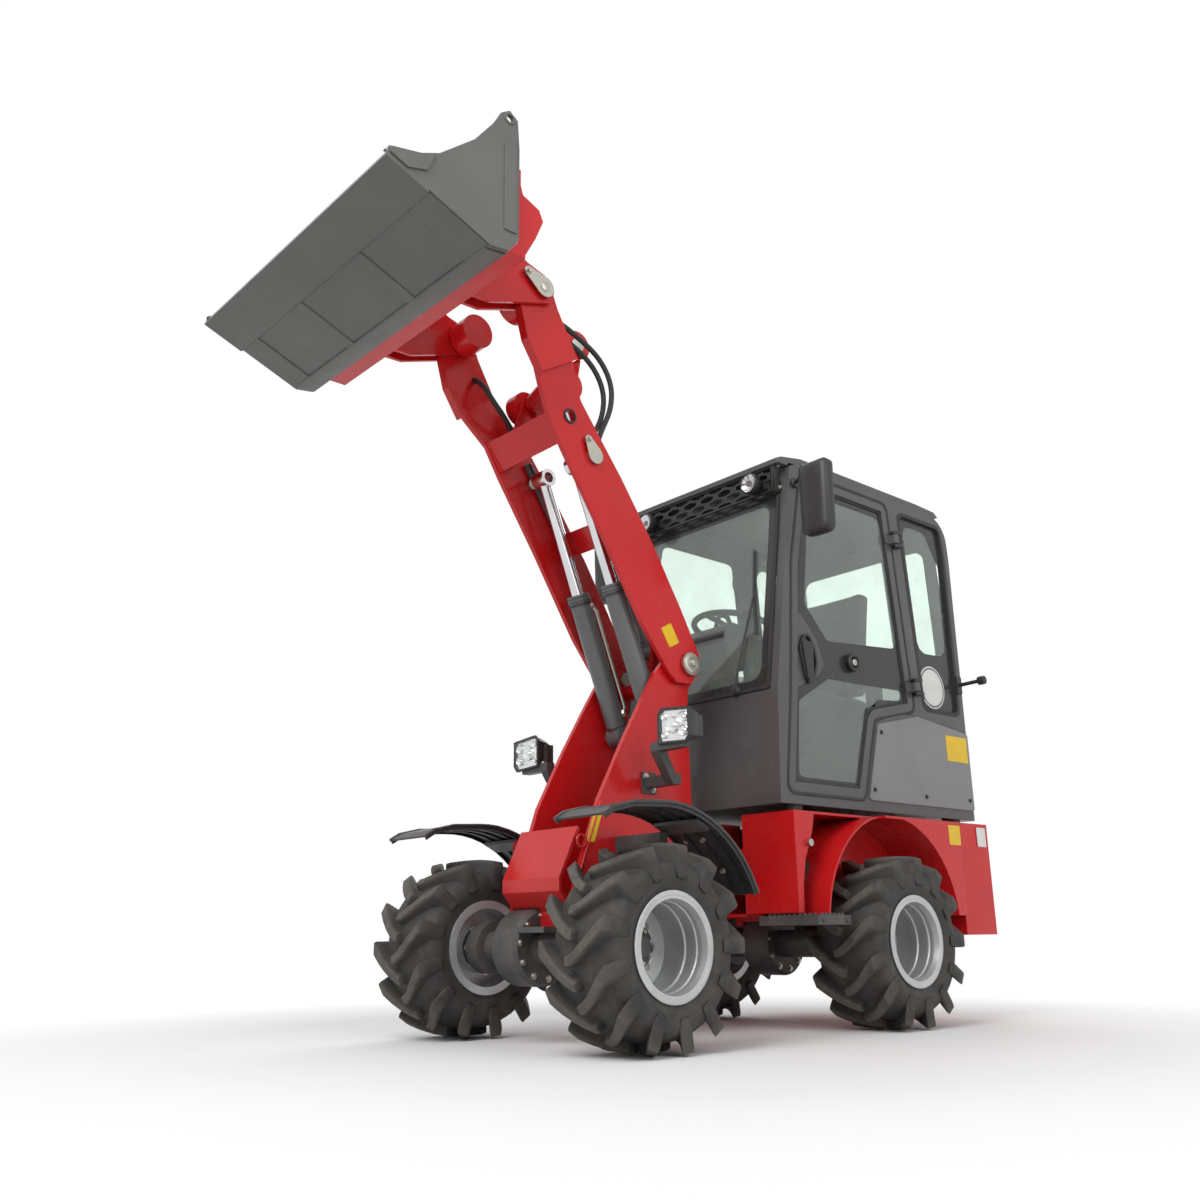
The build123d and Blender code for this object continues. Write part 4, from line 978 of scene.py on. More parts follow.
def fit_boom():
    bm = bmesh.new()
    cross = [(759, 2197), (829, 2305), (765, 2347), (695, 2239)]
    for sign in (1, -1):
        for line in (cross + cross[:1], [(404, 1897), (456, 1982)], [(416, 1890), (468, 1975)]):
            bead(bm, [(x, sign * 190, z) for x, z in line], 5)
    piece_from(bm, "boom_welds", "red_paint", "boom", 60)
    bm = bmesh.new()
    for sign in (1, -1):
        knob(bm, sign, (725, 213, 2312), [(24, -4), (24, 3), (30, 3.5), (32, -4)], 30, True)
    piece_from(bm, "boom_hose_grommets", "rubber", "boom")
    bm = bmesh.new()
    for sign in (1, -1):
        for shift in (0, 24):
            line = [(401, 1865), (470, 1978), (640, 2256)]
            tube(bm, [spot(x - shift * 0.85, sign * 178, z + shift * 0.52) for x, z in line], 8)
    piece_from(bm, "boom_pipes", "dark_steel", "boom")


def fit_cylinders():
    """Steel pipes and gland rings on the lift cylinders."""
    base = Vector(LIFT_BASE)
    way = (Vector(LIFT_HEAD) - base).normalized()
    above = Vector((-way.y, way.x))
    lean = math.radians(55)

    def beside(a, radius, sign):
        p = base + way * a + above * radius * math.cos(lean)
        return spot(p.x, sign * (LIFT_Y - radius * math.sin(lean)), p.y)

    bm = bmesh.new()
    for sign in (1, -1):
        tube(bm, [beside(a, r, sign) for a, r in ((90, 44), (110, 56), (300, 56), (520, 56), (545, 44))], 8)
        for a in (88, 545):
            out = beside(a, 48, sign) - beside(a, 38, sign)
            turned(bm, beside(a, 38, sign), out, [(15, 0), (15, 10), (12, 14)], 6)
    piece_from(bm, "lift_pipes", "zinc", "lift_barrels")
    bm = bmesh.new()
    for sign in (1, -1):
        for a, b in ((560, 566), (574, 580), (588, 594)):
            p = base + way * a
            ring = [(44, 0), (48.5, 1), (48.5, b - a - 1), (44, b - a)]
            turned(bm, spot(p.x, sign * LIFT_Y, p.y), (way.x, 0, way.y), ring, 36, True)
    piece_from(bm, "gland_rings", "dark_steel", "lift_barrels")


# Cab

# Side-view outlines and distances from the middle, in millimetres
DOOR = [(-150, 892), (-205, 1301), (-256, 1859), (-352, 2282), (-978, 2282), (-1068, 1311), (-760, 1241),
        (-652, 892)]
UPPER_LIGHT = [(-340, 1690), (-385, 2000), (-432, 2200), (-930, 2200), (-985, 1590), (-480, 1548)]
LOWER_LIGHT = [(-238, 960), (-268, 1270), (-470, 1385), (-985, 1398), (-976, 1352), (-800, 1335), (-760, 1270),
               (-640, 960)]
QUARTER = [(-1062, 2262), (-1142, 1330), (-1432, 1330), (-1430, 2100), (-1412, 2262)]
QUARTER_LIGHT = [(-1110, 2215), (-1160, 1600), (-1385, 1610), (-1390, 2060), (-1300, 2215)]
CAB_Y = 468
GLASS_OUT = CAB_Y - 12
QUARTER_OUT = CAB_Y - 14
PRINT_GAP = 0.2
PRINT_THICK = 0.8


def fit_door(side, sign):
    body = "door_" + side
    bm = bmesh.new()
    band(bm, rounded(shrunk(DOOR, 41), 24), rounded(shrunk(DOOR, 57), 18), flat(sign, GLASS_OUT - 1, 7))
    band(bm, rounded(shrunk(DOOR, -5), 44), rounded(shrunk(DOOR, 7), 38), flat(sign, CAB_Y - 6, 8))
    piece_from(bm, "door_seals_" + side, "rubber", body)
    bm = bmesh.new()
    holed_plate(bm, rounded(shrunk(DOOR, 50), 20), [rounded(UPPER_LIGHT, 45), rounded(LOWER_LIGHT, 30)],
                flat(sign, GLASS_OUT + PRINT_GAP, PRINT_THICK))
    piece_from(bm, "door_print_" + side, "glass_print", body)
    bm = bmesh.new()
    corner = [(-205, 1640), (-300, 1640), (-395, 1545), (-440, 1440), (-400, 1390), (-215, 1300)]
    prism(bm, rounded(corner, 22), sign * (GLASS_OUT + 1), sign * (GLASS_OUT + 7))
    soften(bm, 1.5, 2)
    piece_from(bm, "door_corner_" + side, "cab_paint", body)
    bm = bmesh.new()
    bowl = [(-272, 1490), (-300, 1548), (-338, 1555), (-372, 1500), (-384, 1440), (-365, 1375), (-330, 1340),
            (-300, 1360)]
    band(bm, rounded(bowl, 40), rounded(shrunk(bowl, 11), 34), flat(sign, CAB_Y - 6, 14))
    soften(bm, 2.0, 2)
    knob(bm, sign, (-627, CAB_Y + 9, 1473), [(38, -10), (41, -4), (40, 4), (33, 9), (26, 8), (22, 1)], 36)
    piece_from(bm, "door_handle_rims_" + side, "black_plastic", body)
    bm = bmesh.new()
    knob(bm, sign, (-627, CAB_Y + 10, 1473), [(15, 0), (15, 5), (12, 7), (4, 7)], 24)
    piece_from(bm, "door_lock_" + side, "zinc", body)


def fit_doors():
    both_sides(fit_door)


def fit_quarter(side, sign):
    bm = bmesh.new()
    band(bm, rounded(shrunk(QUARTER, -6), 44), rounded(shrunk(QUARTER, 12), 34), flat(sign, QUARTER_OUT - 2, 18))
    piece_from(bm, "quarter_seal_" + side, "rubber", "rear_frame")
    bm = bmesh.new()
    holed_plate(bm, rounded(shrunk(QUARTER, 8), 36), [rounded(QUARTER_LIGHT, 60)],
                flat(sign, QUARTER_OUT + PRINT_GAP, PRINT_THICK))
    piece_from(bm, "quarter_print_" + side, "glass_print", "rear_frame")
    bm = bmesh.new()
    slab(bm, -1462, -1424, sign * (CAB_Y - 2), sign * (CAB_Y + 10), 1440, 1520)
    tube(bm, [spot(-1443, sign * (CAB_Y + 4), 1480), spot(-1443, sign * (CAB_Y + 118), 1484)], 9)
    soften(bm, 1.5, 1)
    knob(bm, sign, (-1443, CAB_Y + 108, 1484), [(12, 0), (20, 4), (21, 20), (19, 34), (9, 38)], 20)
    piece_from(bm, "door_holder_" + side, "black_plastic", "rear_frame")
    places = side_places([(-712, 940), (-790, 1190), (-1440, 940), (-1090, 935)], CAB_Y + 6, (sign,))
    bolts("panel_screws_" + side, "rear_frame", places, 12, "black_plastic")


def fit_quarters():
    both_sides(fit_quarter)


SCREEN_FOOT = Vector((-131, 1305))
SCREEN_TOP = Vector((-276, 2230))
BACK_FOOT = Vector((-1460, 1320))
BACK_TOP = Vector((-1400, 2250))


def pane_place(foot, top, out):
    """Places on a sloping pane: across in millimetres, up it in millimetres, and outwards."""
    way = (top - foot).normalized()
    normal = Vector((way.y, -way.x)) * out

    def place(u, v, height):
        point = foot + way * v + normal * height
        return spot(point.x, u, point.y)
    return place


# A wiper's arm, bow, blade and joint: lines of (across, up, outwards) and their radii
WIPER = (([(250, 18, 20), (270, 120, 26), (322, 400, 22)], 6),
         ([(340, 250, 10), (318, 420, 14), (300, 640, 10)], 5),
         ([(342, 250, 2), (318, 420, 3), (298, 640, 2)], 4),
         ([(322, 400, 22), (319, 415, 14)], 7))


def fit_screens():
    for name, foot, top, out, light in (
            ("windscreen", SCREEN_FOOT, SCREEN_TOP, 1, upright(-372, 372, 50, 840)),
            ("back_window", BACK_FOOT, BACK_TOP, -1, upright(-365, 365, 60, 850))):
        tall = (top - foot).length
        place = pane_place(foot, top, out)
        bm = bmesh.new()
        outer = upright(-427, 427, 1, tall - 1)
        holed_plate(bm, outer, [rounded(light, 50)], lambda u, v, far: place(u, v, 0.3 + far * 0.9))
        piece_from(bm, name + "_print", "glass_print", "rear_frame")
        bm = bmesh.new()
        band(bm, rounded(outer, 12), rounded(shrunk(outer, 16), 10), lambda u, v, far: place(u, v, far * 9))
        piece_from(bm, name + "_seal", "rubber", "rear_frame")
        bm = bmesh.new()
        outward = place(0, 0, 1) - place(0, 0, 0)
        turned(bm, place(250 * out, 18, 0), outward, [(24, 0), (24, 14), (18, 24), (10, 26)], 20)
        for line, radius in WIPER:
            tube(bm, [place(u * out, v, height) for u, v, height in line], radius)
        piece_from(bm, name + "_wiper", "black_plastic", "rear_frame")


def fit_visor():
    values = {"Radius": 0.0205, "Opening": 0.70, "Columns": 8, "Rows": 4, "Stretch": 3.0,
              "Finish": FINISH["black_plastic"]}
    bm = grown("visor_mesh", [(Vector((0, 0, 0)), Vector((0, 0, 1)))], TREES["mesh"], values)
    bmesh.ops.remove_doubles(bm, verts=bm.verts, dist=1e-4)
    centre = spot(-236, 0, 2238)
    for vert in bm.verts:
        x, y = vert.co.x, vert.co.y
        vert.co = centre + Vector((0, max(-0.416, min(0.416, x)), max(-0.054, min(0.054, y))))
    bmesh.ops.dissolve_degenerate(bm, dist=1e-5, edges=bm.edges)
    bmesh.ops.solidify(bm, geom=bm.faces[:], thickness=0.004)
    outer = upright(-418, 418, 2180, 2296)
    band(bm, outer, shrunk(outer, 9), lambda u, v, far: spot(-240 + far * 10, u, v))
    visor = piece_from(bm, "visor_sheet", "black_plastic", "rear_frame")
    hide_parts("roof_visor")
    bm = bmesh.new()
    for sign in (1, -1):
        prism(bm, [(-226, 2300), (-250, 2330), (-350, 2325), (-318, 2200), (-262, 2170), (-238, 2176)],
              sign * 420, sign * 427)
    soften(bm, 1.5, 1)
    piece_from(bm, "visor_cheeks", "black_plastic", "rear_frame")
    bolts("visor_bolts", "rear_frame", side_places([(-262, 2300), (-296, 2250), (-268, 2200)], 427), 14)


def fit_work_lamps():
    bm = bmesh.new()
    dish = bmesh.new()
    cover = bmesh.new()
    for sign in (1, -1):
        foot = spot(-230, sign * 324, 2228)
        for mesh, profile in (
                (bm, [(22, 0), (36, 5), (45, 18), (46, 30), (46, 50), (44, 54), (40, 54), (40, 46), (12, 40)]),
                (dish, [(6, 38), (16, 41), (28, 44), (36, 49), (40, 50), (40, 47), (8, 36)]),
                (cover, [(40, 50), (38, 53), (24, 54), (6, 54), (6, 52.5), (24, 52), (38, 51)])):
            turned(mesh, foot, (1, 0, 0), profile, 40)
    shell = piece_from(bm, "work_lamp_shells", "black_plastic", "rear_frame")
    bright = piece_from(dish, "work_lamp_dishes", "reflector", "rear_frame")
    glass = piece_from(cover, "work_lamp_covers", "lamp_cover", "rear_frame")
    for piece in (shell, bright, glass):
        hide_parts("work_lamps")


HEADLAMP = [(360, 1042), (494, 1034), (510, 1054), (510, 1150), (378, 1162), (360, 1144)]
BOWLS = [(480, 1122, 21), (480, 1074, 21), (426, 1099, 31), (383, 1134, 12), (383, 1066, 12)]


def fit_headlamps():
    bm = bmesh.new()
    frame_bm = bmesh.new()
    cover = bmesh.new()
    for sign in (1, -1):
        outline = [(sign * y, z) for y, z in HEADLAMP]
        facing(bm, shrunk(outline, 4), 423.5, 425.5)
        for y, z, r in BOWLS:
            centre = spot(425, sign * y, z)
            bowl = [(r, 0), (r, 7), (r - 2, 7.5), (r * 0.75, 4), (r * 0.4, 1.6), (r * 0.3, 1)]
            turned(bm, centre, (1, 0, 0), bowl, 32)
            turned(bm, centre, (1, 0, 0), [(r * 0.28, 0), (r * 0.26, 4.5), (r * 0.12, 6)], 16)
        band(frame_bm, shrunk(outline, -6), shrunk(outline, 2), lambda u, v, far: spot(422 + far * 13, u, v))
        facing(cover, shrunk(outline, 1), 433, 434.5)
        shell = [(352, 20), (366, 12), (404, 2), (424, 0)]
        loft(frame_bm, [[spot(x, y, z) for y, z in shrunk(outline, inset)] for x, inset in shell])
    soften(frame_bm, 1.5, 1)
    bright = piece_from(bm, "headlamp_bowls", "reflector", "front_frame")
    rims = piece_from(frame_bm, "headlamp_rims", "black_plastic", "front_frame")
    glass = piece_from(cover, "headlamp_covers", "lamp_cover", "front_frame")
    for piece in (bright, rims, glass):
        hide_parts("headlamps")
    places = [(spot(405, sign * 352, 1050), Vector((0, 0, 1))) for sign in (1, -1)]
    bolts("headlamp_bolts", "front_frame", places + side_places([(308, 898), (344, 944)], 193), 16)


MIRROR = [(106, 2236), (252, 2236), (246, 1922), (122, 1922)]


def fit_mirrors():
    """Tapered shells over the mirror heads, with their glass behind."""
    shell = bmesh.new()
    glass = bmesh.new()
    for sign in (1, -1):
        outline = [(sign * (CAB_Y + y), z) for y, z in MIRROR]
        depths = [(-252, 2), (-248, 0), (-216, 0), (-203, 8), (-197, 24)]
        rows = [[spot(x, y, z) for y, z in rounded(shrunk(outline, inset), 26)] for x, inset in depths]
        loft(shell, rows)
        facing(glass, rounded(shrunk(outline, 9), 20), -254, -251)
        knob(shell, sign, (-308, CAB_Y + 8, 2215), [(22, -7), (22, 2), (17, 8)], 20)
    piece_from(glass, "mirror_glass", "reflector", "rear_frame")
    piece_from(shell, "mirror_shells", "black_plastic", "rear_frame", 50)


# Seat and controls

VOXEL = 0.0065
PRESSURE = 4.0
CLOTH_FRAMES = 20
SWELL_CAP = 0.010


def padded_start(name, outline, half, bulge):
    """A closed pad from a side-view outline: narrower at both ends, ready for the cloth."""
    bm = bmesh.new()
    shares = [-1.0, -0.9, -0.5, 0.0, 0.5, 0.9, 1.0]
    rows = []
    for share in shares:
        squeeze = bulge if abs(share) == 1.0 else 0.0
        rows.append([spot(x, half * share, z) for x, z in rounded(shrunk(outline, squeeze), 26, 4)])
    loft(bm, rows)
    bmesh.ops.recalc_face_normals(bm, faces=bm.faces)
    mesh = bpy.data.meshes.new(name)
    bm.to_mesh(mesh)
    bm.free()
    pad = bpy.data.objects.new(name, mesh)
    bpy.context.collection.objects.link(pad)
    return pad


def apply_all(piece):
    """Bakes a piece's modifiers into a plain mesh."""
    shape = bpy.data.meshes.new_from_object(piece.evaluated_get(bpy.context.evaluated_depsgraph_get()))
    piece.modifiers.clear()
    piece.data = shape


def swell(pad, cap, low, high):
    """Remeshes a pad, blows it up as cloth and keeps it within a cap and a box."""
    remesh = pad.modifiers.new("even_faces", "REMESH")
    remesh.mode = "VOXEL"
    remesh.voxel_size = VOXEL
    apply_all(pad)
    start = [v.co.copy() for v in pad.data.vertices]
    cloth = pad.modifiers.new("filling", "CLOTH")
    cloth.settings.use_pressure = True
    cloth.settings.uniform_pressure_force = PRESSURE
    cloth.settings.effector_weights.gravity = 0.0
    scene = bpy.context.scene
    for number in range(1, CLOTH_FRAMES + 1):
        scene.frame_set(number)
    apply_all(pad)
    scene.frame_set(1)
    for vertex, origin in zip(pad.data.vertices, start):
        move = vertex.co - origin
        if move.length > cap:
            vertex.co = origin + move * (cap / move.length)
        vertex.co = Vector([max(a, min(b, c)) for a, b, c in zip(low, high, vertex.co)])


def sew(pad, seam):
    """Presses seams into a pad: seam(x, y, z) takes millimetres and gives a move in metres."""
    for vertex in pad.data.vertices:
        vertex.co += seam((vertex.co.x - STEER_X) / MM, vertex.co.y / MM, vertex.co.z / MM)


def groove(distance, width, depth):
    return depth * math.exp(-(distance / width) ** 2)


def cushion_seam(x, y, z):
    if z < 1385:
        return Vector((0, 0, 0))
    depth = max(groove(abs(y) - 150, 7, 0.010), groove((x + 870) % 90 - 45, 6, 0.006) if abs(y) < 150 else 0.0)
    return Vector((0, 0, -depth))


def back_seam(x, y, z):
    front = -1000 - (z - 1410) * 90 / 540
    if x < front - 30:
        return Vector((0, 0, 0))
    depth = max(groove(abs(y) - 140, 7, 0.010), groove((z - 1500) % 95 - 47, 6, 0.006) if abs(y) < 140 else 0.0)
    return Vector((-depth, 0, 0))


def fit_seat():
    low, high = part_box("seat_pads")
    cushion = [(-1094, 1304), (-650, 1304), (-646, 1380), (-700, 1404), (-1094, 1398)]
    back = [(-1078, 1416), (-1008, 1416), (-1092, 1942), (-1165, 1942)]
    for name, outline, half, seam in (("seat_cushion", cushion, 0.226 / MM, cushion_seam),
                                      ("seat_back", back, 0.216 / MM, back_seam)):
        pad = padded_start(name, outline, half, 14)
        swell(pad, SWELL_CAP, low, high)
        sew(pad, seam)
        pad.data.polygons.foreach_set("use_smooth", [True] * len(pad.data.polygons))
        smooth = pad.modifiers.new("smooth", "SUBSURF")
        smooth.levels = smooth.render_levels = 1
        apply_all(pad)
        pad.data.materials.clear()
        pad.data.materials.append(FINISH["seat_fabric"])
        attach(pad, "rear_frame")
        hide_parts("seat_pads")


def fit_controls():
    bm = bmesh.new()
    console = [(-1020, 880), (-1020, 1390), (-960, 1430), (-660, 1400), (-600, 1340), (-600, 1180), (-720, 880)]
    prism(bm, rounded(console, 30), -402, -268)
    slab(bm, -1000, -760, 262, 330, 1470, 1520)
    slab(bm, -1040, -980, 270, 320, 1180, 1500)
    soften(bm, 9, 3)
    piece_from(bm, "side_console", "black_plastic", "rear_frame")
    bm = bmesh.new()
    stick = [(34, 0), (30, 14), (16, 40), (10, 50), (10, 110), (20, 122), (24, 160), (20, 196), (9, 204)]
    turned(bm, spot(-720, -335, 1400), (0.12, 0, 1), stick, 24)
    turned(bm, spot(-330, 140, 880), (0, 0, 1), [(9, 0), (9, 90)], 12)
    for y in (130, -150):
        prism(bm, [(-300, 900), (-290, 905), (-235, 1010), (-245, 1015)], y - 45, y + 45)
    piece_from(bm, "levers_and_pedals", "rubber", "rear_frame")
    bm = bmesh.new()
    prism(bm, rounded([(-300, 1430), (-190, 1500), (-170, 1600), (-240, 1660), (-330, 1600)], 24), -150, 150)
    slab(bm, -300, -180, -110, 110, 1300, 1440)
    soften(bm, 8, 2)
    piece_from(bm, "dash_pod", "black_plastic", "rear_frame")
    bm = bmesh.new()
    half_loop = [(60, -400, 1560), (60, -410, 1830), (30, -414, 1900)]
    loop = [(-800 - x, y, z) for x, y, z in half_loop] + [(-800 + x, y, z) for x, y, z in half_loop[::-1]]
    tube(bm, [spot(*p) for p in loop], 13)
    piece_from(bm, "grab_rail", "black_plastic", "rear_frame")


# Frames

PATCH_THICK = 1.2


def fit_patches():
    """Blank patches, on the left side only."""
    for name, finish, body, corners, y in (
            ("tower_patch_left", "patch_yellow", "front_frame", [(560, 800), (600, 800), (640, 690), (600, 690)], 185),
            ("boom_patch_left", "patch_yellow", "boom", [(160, 1490), (215, 1462), (260, 1535), (205, 1565)], 211),
            ("flank_patch_left", "patch_yellow", "rear_frame", upright(-1092, -1180, 722, 806), 565),
            ("flank_patch_pale_left", "patch_white", "rear_frame", upright(-1315, -1385, 722, 806), 564),
            ("panel_patch_left", "patch_yellow", "rear_frame", upright(-1285, -1455, 1110, 1228), CAB_Y + 6)):
        bm = bmesh.new()
        prism(bm, rounded(corners, 5, 3), y, y + PATCH_THICK)
        piece_from(bm, name, finish, body)
    centre = spot(-1242, QUARTER_OUT + 1, 1446)
    bm = bmesh.new()
    turned(bm, centre, (0, 1, 0), [(100, 0), (100, 1.4), (96, 1.8)], 56)
    piece_from(bm, "round_patch_left", "patch_white", "rear_frame")
    bm = bmesh.new()
    turned(bm, centre, (0, 1, 0), [(92, 0), (92, 2.2), (86, 2.2), (86, 0)], 56, True)
    piece_from(bm, "round_patch_ring_left", "black_plastic", "rear_frame")


def fit_front_frame():
    hub = HUB["front_left"]

    def on_fender(radius, angles, widths, out):
        places = []
        for sign in (1, -1):
            for a in map(math.radians, angles):
                point = around_hub(hub, radius, a, 0)
                way = Vector((math.cos(a), 0, math.sin(a))) * out
                places += [(Vector((point.x, sign * y * MM, point.z)), way) for y in widths]
        return places

    bolts("fender_bolts", "front_frame", on_fender(0.462, (146, 128, 110), (418, 476, 540, 602), 1), 13)
    bolts("fender_bolts_under", "front_frame", on_fender(0.452, (146, 128), (440, 520), -1), 16)
    bm = bmesh.new()
    for sign in (1, -1):
        line = [around_hub(hub, 0.459, math.radians(a), 0) for a in range(158, 83, -6)]
        line += [spot(818, 0, 781), spot(908, 0, 760), spot(948, 0, 736)]
        for y in (387, 633):
            tube(bm, [Vector((p.x, sign * y * MM, p.z)) for p in line], 7, 10)
    piece_from(bm, "fender_edges", "black_gloss", "front_frame")
    bm = bmesh.new()
    for sign in (1, -1):
        bead(bm, [(690, sign * 185, 500), (668, sign * 186, 590), (596, sign * 186, 767), (570, sign * 186, 838)], 4)
        knob(bm, sign, (660, 185, 692), [(17.5, 0), (17.5, 3), (24, 4), (27, 0)], 28, True)
    piece_from(bm, "tower_edges", "red_paint", "front_frame", 60)


def fit_rear_frame():
    bm = bmesh.new()
    for sign in (1, -1):
        slab(bm, -232, -196, sign * 470, sign * 478, 660, 800)
        slab(bm, -232, -180, sign * 440, sign * 500, 792, 800)
        knob(bm, sign, (-214, 478, 700), [(16, 0), (16, 10), (10, 16), (10, 30), (14, 32), (14, 40)], 18)
        knob(bm, sign, (-214, 478, 760), [(11, 0), (11, 14), (8, 18)], 18)
    soften(bm, 1.0, 1)
    piece_from(bm, "latch_brackets", "zinc", "rear_frame")
    bm = bmesh.new()
    for sign in (1, -1):
        tube(bm, [spot(-190, sign * 452, 795), spot(-225, sign * 440, 690)], 11)
        tube(bm, [spot(-225, sign * 440, 690), spot(-246, sign * 430, 620)], 6)
        slab(bm, -300, -165, sign * 330, sign * 430, 560, 640)
        slab(bm, -290, -190, sign * 340, sign * 420, 640, 700)
    soften(bm, 2.0, 1)
    piece_from(bm, "latch_struts", "black_plastic", "rear_frame")
    places = []
    for sign in (1, -1):
        for y in range(350, 590, 24):
            for x in (-148, -296):
                places.append((spot(x, sign * y, 430), Vector((0, 0, 1))))
        for x in range(-280, -150, 24):
            places.append((spot(x, sign * 588, 430), Vector((0, 0, 1))))
        places += [(spot(x, sign * 600, 412), Vector((0, sign, 0))) for x in (-290, -152)]
    bolts("step_studs", "rear_frame", places, 13, "dark_steel")
    bm = bmesh.new()
    lens = bmesh.new()
    for sign in (1, -1):
        outline = upright(sign * 272, sign * 408, 692, 788)
        band(bm, rounded(outline, 16), rounded(shrunk(outline, 9), 12),
             lambda u, v, far: spot(-1531 - far * 16, u, v))
        way = Vector((-0.718, sign * 0.696, 0))
        turned(bm, spot(-1446, sign * 518, 692), way, [(30, -2), (31, 3), (27, 6)], 28)
        turned(lens, spot(-1446, sign * 518, 692), way, [(25, 4), (25, 7), (18, 9), (5, 9.5)], 28)
        for y in (318, 362):
            turned(lens, spot(-1545, sign * y, 740), (-1, 0, 0), [(19, -2), (19, 1), (14, 3), (4, 3.5)], 24)
    soften(bm, 1.5, 1)
    piece_from(bm, "lamp_bezels", "black_plastic", "rear_frame")
    piece_from(lens, "reflectors", "red_lens", "rear_frame")
    bm = bmesh.new()
    turned(bm, spot(-1495, 0, 600), (0, 0, 1), [(13, 0), (15, 4), (15, 222), (22, 224), (22, 236), (12, 238)], 24)
    tube(bm, [spot(-1495, 0, 836), spot(-1495, 0, 862), spot(-1495, 34, 872), spot(-1495, 60, 860)], 6)
    piece_from(bm, "tow_pin_handle", "zinc", "rear_frame")
    bm = bmesh.new()
    for i in range(7):
        z = 420 + i * 26
        prism(bm, [(-1530, z), (-1542, z - 4), (-1542, z + 2), (-1530, z + 12)], -180, 180)
    slab(bm, -1534, -1530, -200, 200, 405, 612)
    soften(bm, 1.0, 1)
    piece_from(bm, "rear_louvres", "black_plastic", "rear_frame")
    bm = bmesh.new()
    slab(bm, -1536, -1530, 150, 250, 700, 790)
    soften(bm, 2.0, 2)
    piece_from(bm, "charge_flap", "black_plastic", "rear_frame")


# Stage

CAMERA_AT = (3379.5, 3375.3, 368.3)
CAMERA_YAW = 3.98817
CAMERA_TILT = 0.28208
CAMERA_ROLL = -0.013478
SENSOR = 36.0
FOCAL_SHARE = 1156.75 / 1200
FLOOR_REACH = 40.0
FLOOR_DROP = 0.0005
FADE_FROM, FADE_TO = 1.7, 3.0
SKY_LIGHT, SKY_SEEN = 0.42, 1.0
LIGHTS = (("key_light", (4500, 1500, 5200), (200, 0, 1200), 3.5, 250.0),
          ("fill_light", (900, 5200, 3200), (0, 0, 1200), 4.0, 95.0),
          ("back_light", (-4500, -3000, 4500), (0, 0, 1200), 4.0, 120.0))


def add_camera():
    scene = bpy.context.scene
    scene.view_settings.view_transform = "Standard"
    data = bpy.data.cameras.new("photo_camera")
    data.sensor_width = SENSOR
    data.lens = SENSOR * FOCAL_SHARE
    data.clip_end = 200.0
    level = math.cos(CAMERA_TILT)
    ahead = Vector((math.cos(CAMERA_YAW) * level, math.sin(CAMERA_YAW) * level, math.sin(CAMERA_TILT)))
    right = ahead.cross(Vector((0, 0, 1))).normalized()
    up = right.cross(ahead)
    c, s = math.cos(CAMERA_ROLL), math.sin(CAMERA_ROLL)
    turn = Matrix((c * right + s * up, c * up - s * right, -ahead)).transposed()
    camera = bpy.data.objects.new("photo_camera", data)
    camera.matrix_world = Matrix.Translation(spot(*CAMERA_AT)) @ turn.to_4x4()
    scene.collection.objects.link(camera)
    scene.camera = camera


def seen_directly(tree):
    """1 for rays that show the backdrop: from the camera, in mirrors and through glass."""
    path = node(tree, "ShaderNodeLightPath").outputs
    total = math_node(tree, "MAXIMUM", path["Is Camera Ray"], path["Is Glossy Ray"])
    return math_node(tree, "MAXIMUM", total, path["Is Transmission Ray"])


def add_floor():
    """A matt floor that fades to white away from the loader."""
    mesh = bpy.data.meshes.new("studio_floor")
    corners = [(x * FLOOR_REACH, y * FLOOR_REACH, 0) for x, y in ((-1, -1), (1, -1), (1, 1), (-1, 1))]
    mesh.from_pydata(corners, [], [(0, 1, 2, 3)])
    floor = bpy.data.objects.new("studio_floor", mesh)
    bpy.context.scene.collection.objects.link(floor)
    floor.location.z = CAD_BOX[0][2] - FLOOR_DROP
    f = Finish("studio_floor", Roughness=0.75)
    tree = f.tree
    f.link(f.mix(f.noise(1.3), (0.83, 0.83, 0.83), (0.86, 0.86, 0.86)), "Base Color")
    away = node(tree, "ShaderNodeVectorMath", {"operation": "LENGTH"}, Vector=f.coords).outputs["Value"]
    far = math_node(tree, "MULTIPLY", ramp(tree, away, FADE_FROM, FADE_TO), seen_directly(tree))
    fade = node(tree, "ShaderNodeMixShader")
    for socket, value in zip(fade.inputs, (far, f.shader.outputs[0], node(tree, "ShaderNodeEmission").outputs[0])):
        feed(tree, socket, value)
    feed(tree, tree.nodes["Material Output"].inputs["Surface"], fade.outputs[0])
    mesh.materials.append(f.material)


def add_lights():
    world = bpy.data.worlds.new("studio_world")
    bpy.context.scene.world = world
    world.use_nodes = True
    tree = world.node_tree
    sky = tree.nodes["Background"]
    sky.inputs["Color"].default_value = (1.0, 1.0, 1.0, 1.0)
    strength = node(tree, "ShaderNodeMix", Factor=seen_directly(tree), A=SKY_LIGHT, B=SKY_SEEN)
    feed(tree, sky.inputs["Strength"], strength.outputs["Result"])
    for name, place, aim, size, power in LIGHTS:
        data = bpy.data.lights.new(name, "AREA")
        data.size = size
        data.energy = power
        lamp = bpy.data.objects.new(name, data)
        way = spot(*aim) - spot(*place)
        lamp.matrix_world = Matrix.Translation(spot(*place)) @ way.to_track_quat("-Z", "Y").to_matrix().to_4x4()
        bpy.context.scene.collection.objects.link(lamp)


# Operators

# Pins whose collars are painted with the boom
PAINTED_PINS = ("coupler_pins", "lever_pin", "link_pin")


def coat_nodes():
    """Puts a finish on every node of the frame."""
    for part in frame["record"]["subparts"]:
        finish = "red_paint" if part["node"] in PAINTED_PINS else part["material_slot"]
        for slot in frame["nodes"][part["node"]].material_slots:
            slot.material = FINISH[finish]


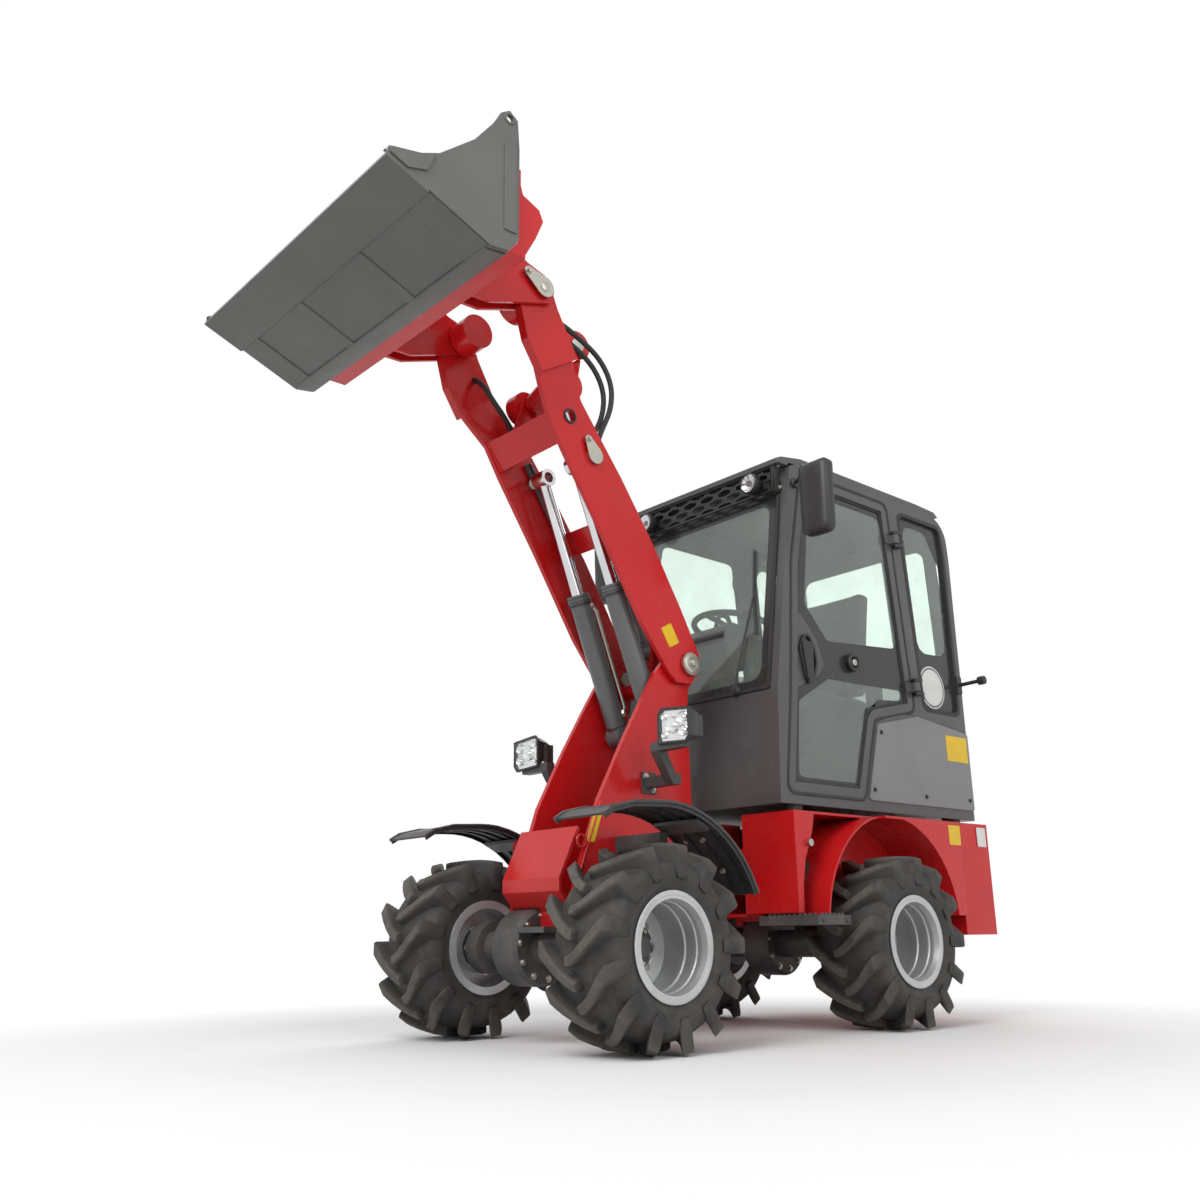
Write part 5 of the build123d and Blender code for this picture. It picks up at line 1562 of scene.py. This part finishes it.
def build_trees():
    TREES.update(bolts=bolt_tree(), mesh=mesh_tree())


class Step:
    """Runs an operator's makers in turn."""
    makers = ()

    def execute(self, context):
        for make in self.makers:
            make()
        return {"FINISHED"}


class LOADER_OT_stage(Step, Operator):
    """Camera, floor, world and lights"""
    bl_idname = "loader.stage"
    bl_label = "Stage"
    makers = (add_camera, add_floor, add_lights)


class LOADER_OT_finishes(Step, Operator):
    """Materials on every node of the frame"""
    bl_idname = "loader.finishes"
    bl_label = "Finishes"
    makers = (build_finishes, build_trees, coat_nodes)


class LOADER_OT_hoses(Step, Operator):
    """Sleeved hydraulic hoses on the boom"""
    bl_idname = "loader.hoses"
    bl_label = "Hoses"
    makers = (make_hoses,)


class LOADER_OT_tyres(Step, Operator):
    """Four lugged tyres in place of the plain ones"""
    bl_idname = "loader.tyres"
    bl_label = "Tyres"
    makers = (make_tyres,)


class LOADER_OT_wheel_fittings(Step, Operator):
    """Hub covers, nuts, valves and axle bolts"""
    bl_idname = "loader.wheel_fittings"
    bl_label = "Wheel fittings"
    makers = (fit_wheels, fit_axles)


class LOADER_OT_front_gear(Step, Operator):
    """Plates, welds, keepers and pipes on the bucket, boom and cylinders"""
    bl_idname = "loader.front_gear"
    bl_label = "Front gear"
    makers = (fit_bucket, fit_pins, fit_boom, fit_cylinders)


class LOADER_OT_cab(Step, Operator):
    """Seals, printed borders, handles, wipers, visor, lamps and mirrors"""
    bl_idname = "loader.cab"
    bl_label = "Cab trim"
    makers = (fit_doors, fit_quarters, fit_screens, fit_visor, fit_work_lamps, fit_mirrors)


class LOADER_OT_seat(Step, Operator):
    """Padded seat and the controls round it"""
    bl_idname = "loader.seat"
    bl_label = "Seat and controls"
    makers = (fit_seat, fit_controls)


class LOADER_OT_frames(Step, Operator):
    """Head lamps, fender and tower trim, latches, steps, tail and blank patches"""
    bl_idname = "loader.frames"
    bl_label = "Frame trim"
    makers = (fit_headlamps, fit_front_frame, fit_rear_frame, fit_patches)


class LOADER_PT_panel(Panel):
    """Lists the loader's sizes, colours and steps"""
    bl_idname = "LOADER_PT_panel"
    bl_label = "Loader"
    bl_space_type = "VIEW_3D"
    bl_region_type = "UI"
    bl_category = "Loader"

    def draw(self, context):
        for settings in (context.scene.loader_sizes, context.scene.loader_colours):
            for label in settings.__annotations__:
                self.layout.prop(settings, label)
        for operator in STEPS:
            self.layout.operator(operator.bl_idname)


STEPS = (LOADER_OT_stage, LOADER_OT_finishes, LOADER_OT_hoses, LOADER_OT_tyres, LOADER_OT_wheel_fittings,
         LOADER_OT_front_gear, LOADER_OT_cab, LOADER_OT_seat, LOADER_OT_frames)
CLASSES = (LoaderSizes, LoaderColours) + STEPS + (LOADER_PT_panel,)


def register():
    for cls in CLASSES:
        bpy.utils.register_class(cls)
    bpy.types.Scene.loader_sizes = PointerProperty(type=LoaderSizes)
    bpy.types.Scene.loader_colours = PointerProperty(type=LoaderColours)


def unregister():
    del bpy.types.Scene.loader_colours
    del bpy.types.Scene.loader_sizes
    for cls in reversed(CLASSES):
        bpy.utils.unregister_class(cls)


def main():
    register()
    bpy.ops.loader.stage()
    bpy.ops.loader.finishes()
    bpy.ops.loader.hoses()
    bpy.ops.loader.tyres()
    bpy.ops.loader.wheel_fittings()
    bpy.ops.loader.front_gear()
    bpy.ops.loader.cab()
    bpy.ops.loader.seat()
    bpy.ops.loader.frames()


if __name__ == "__main__":
    main()
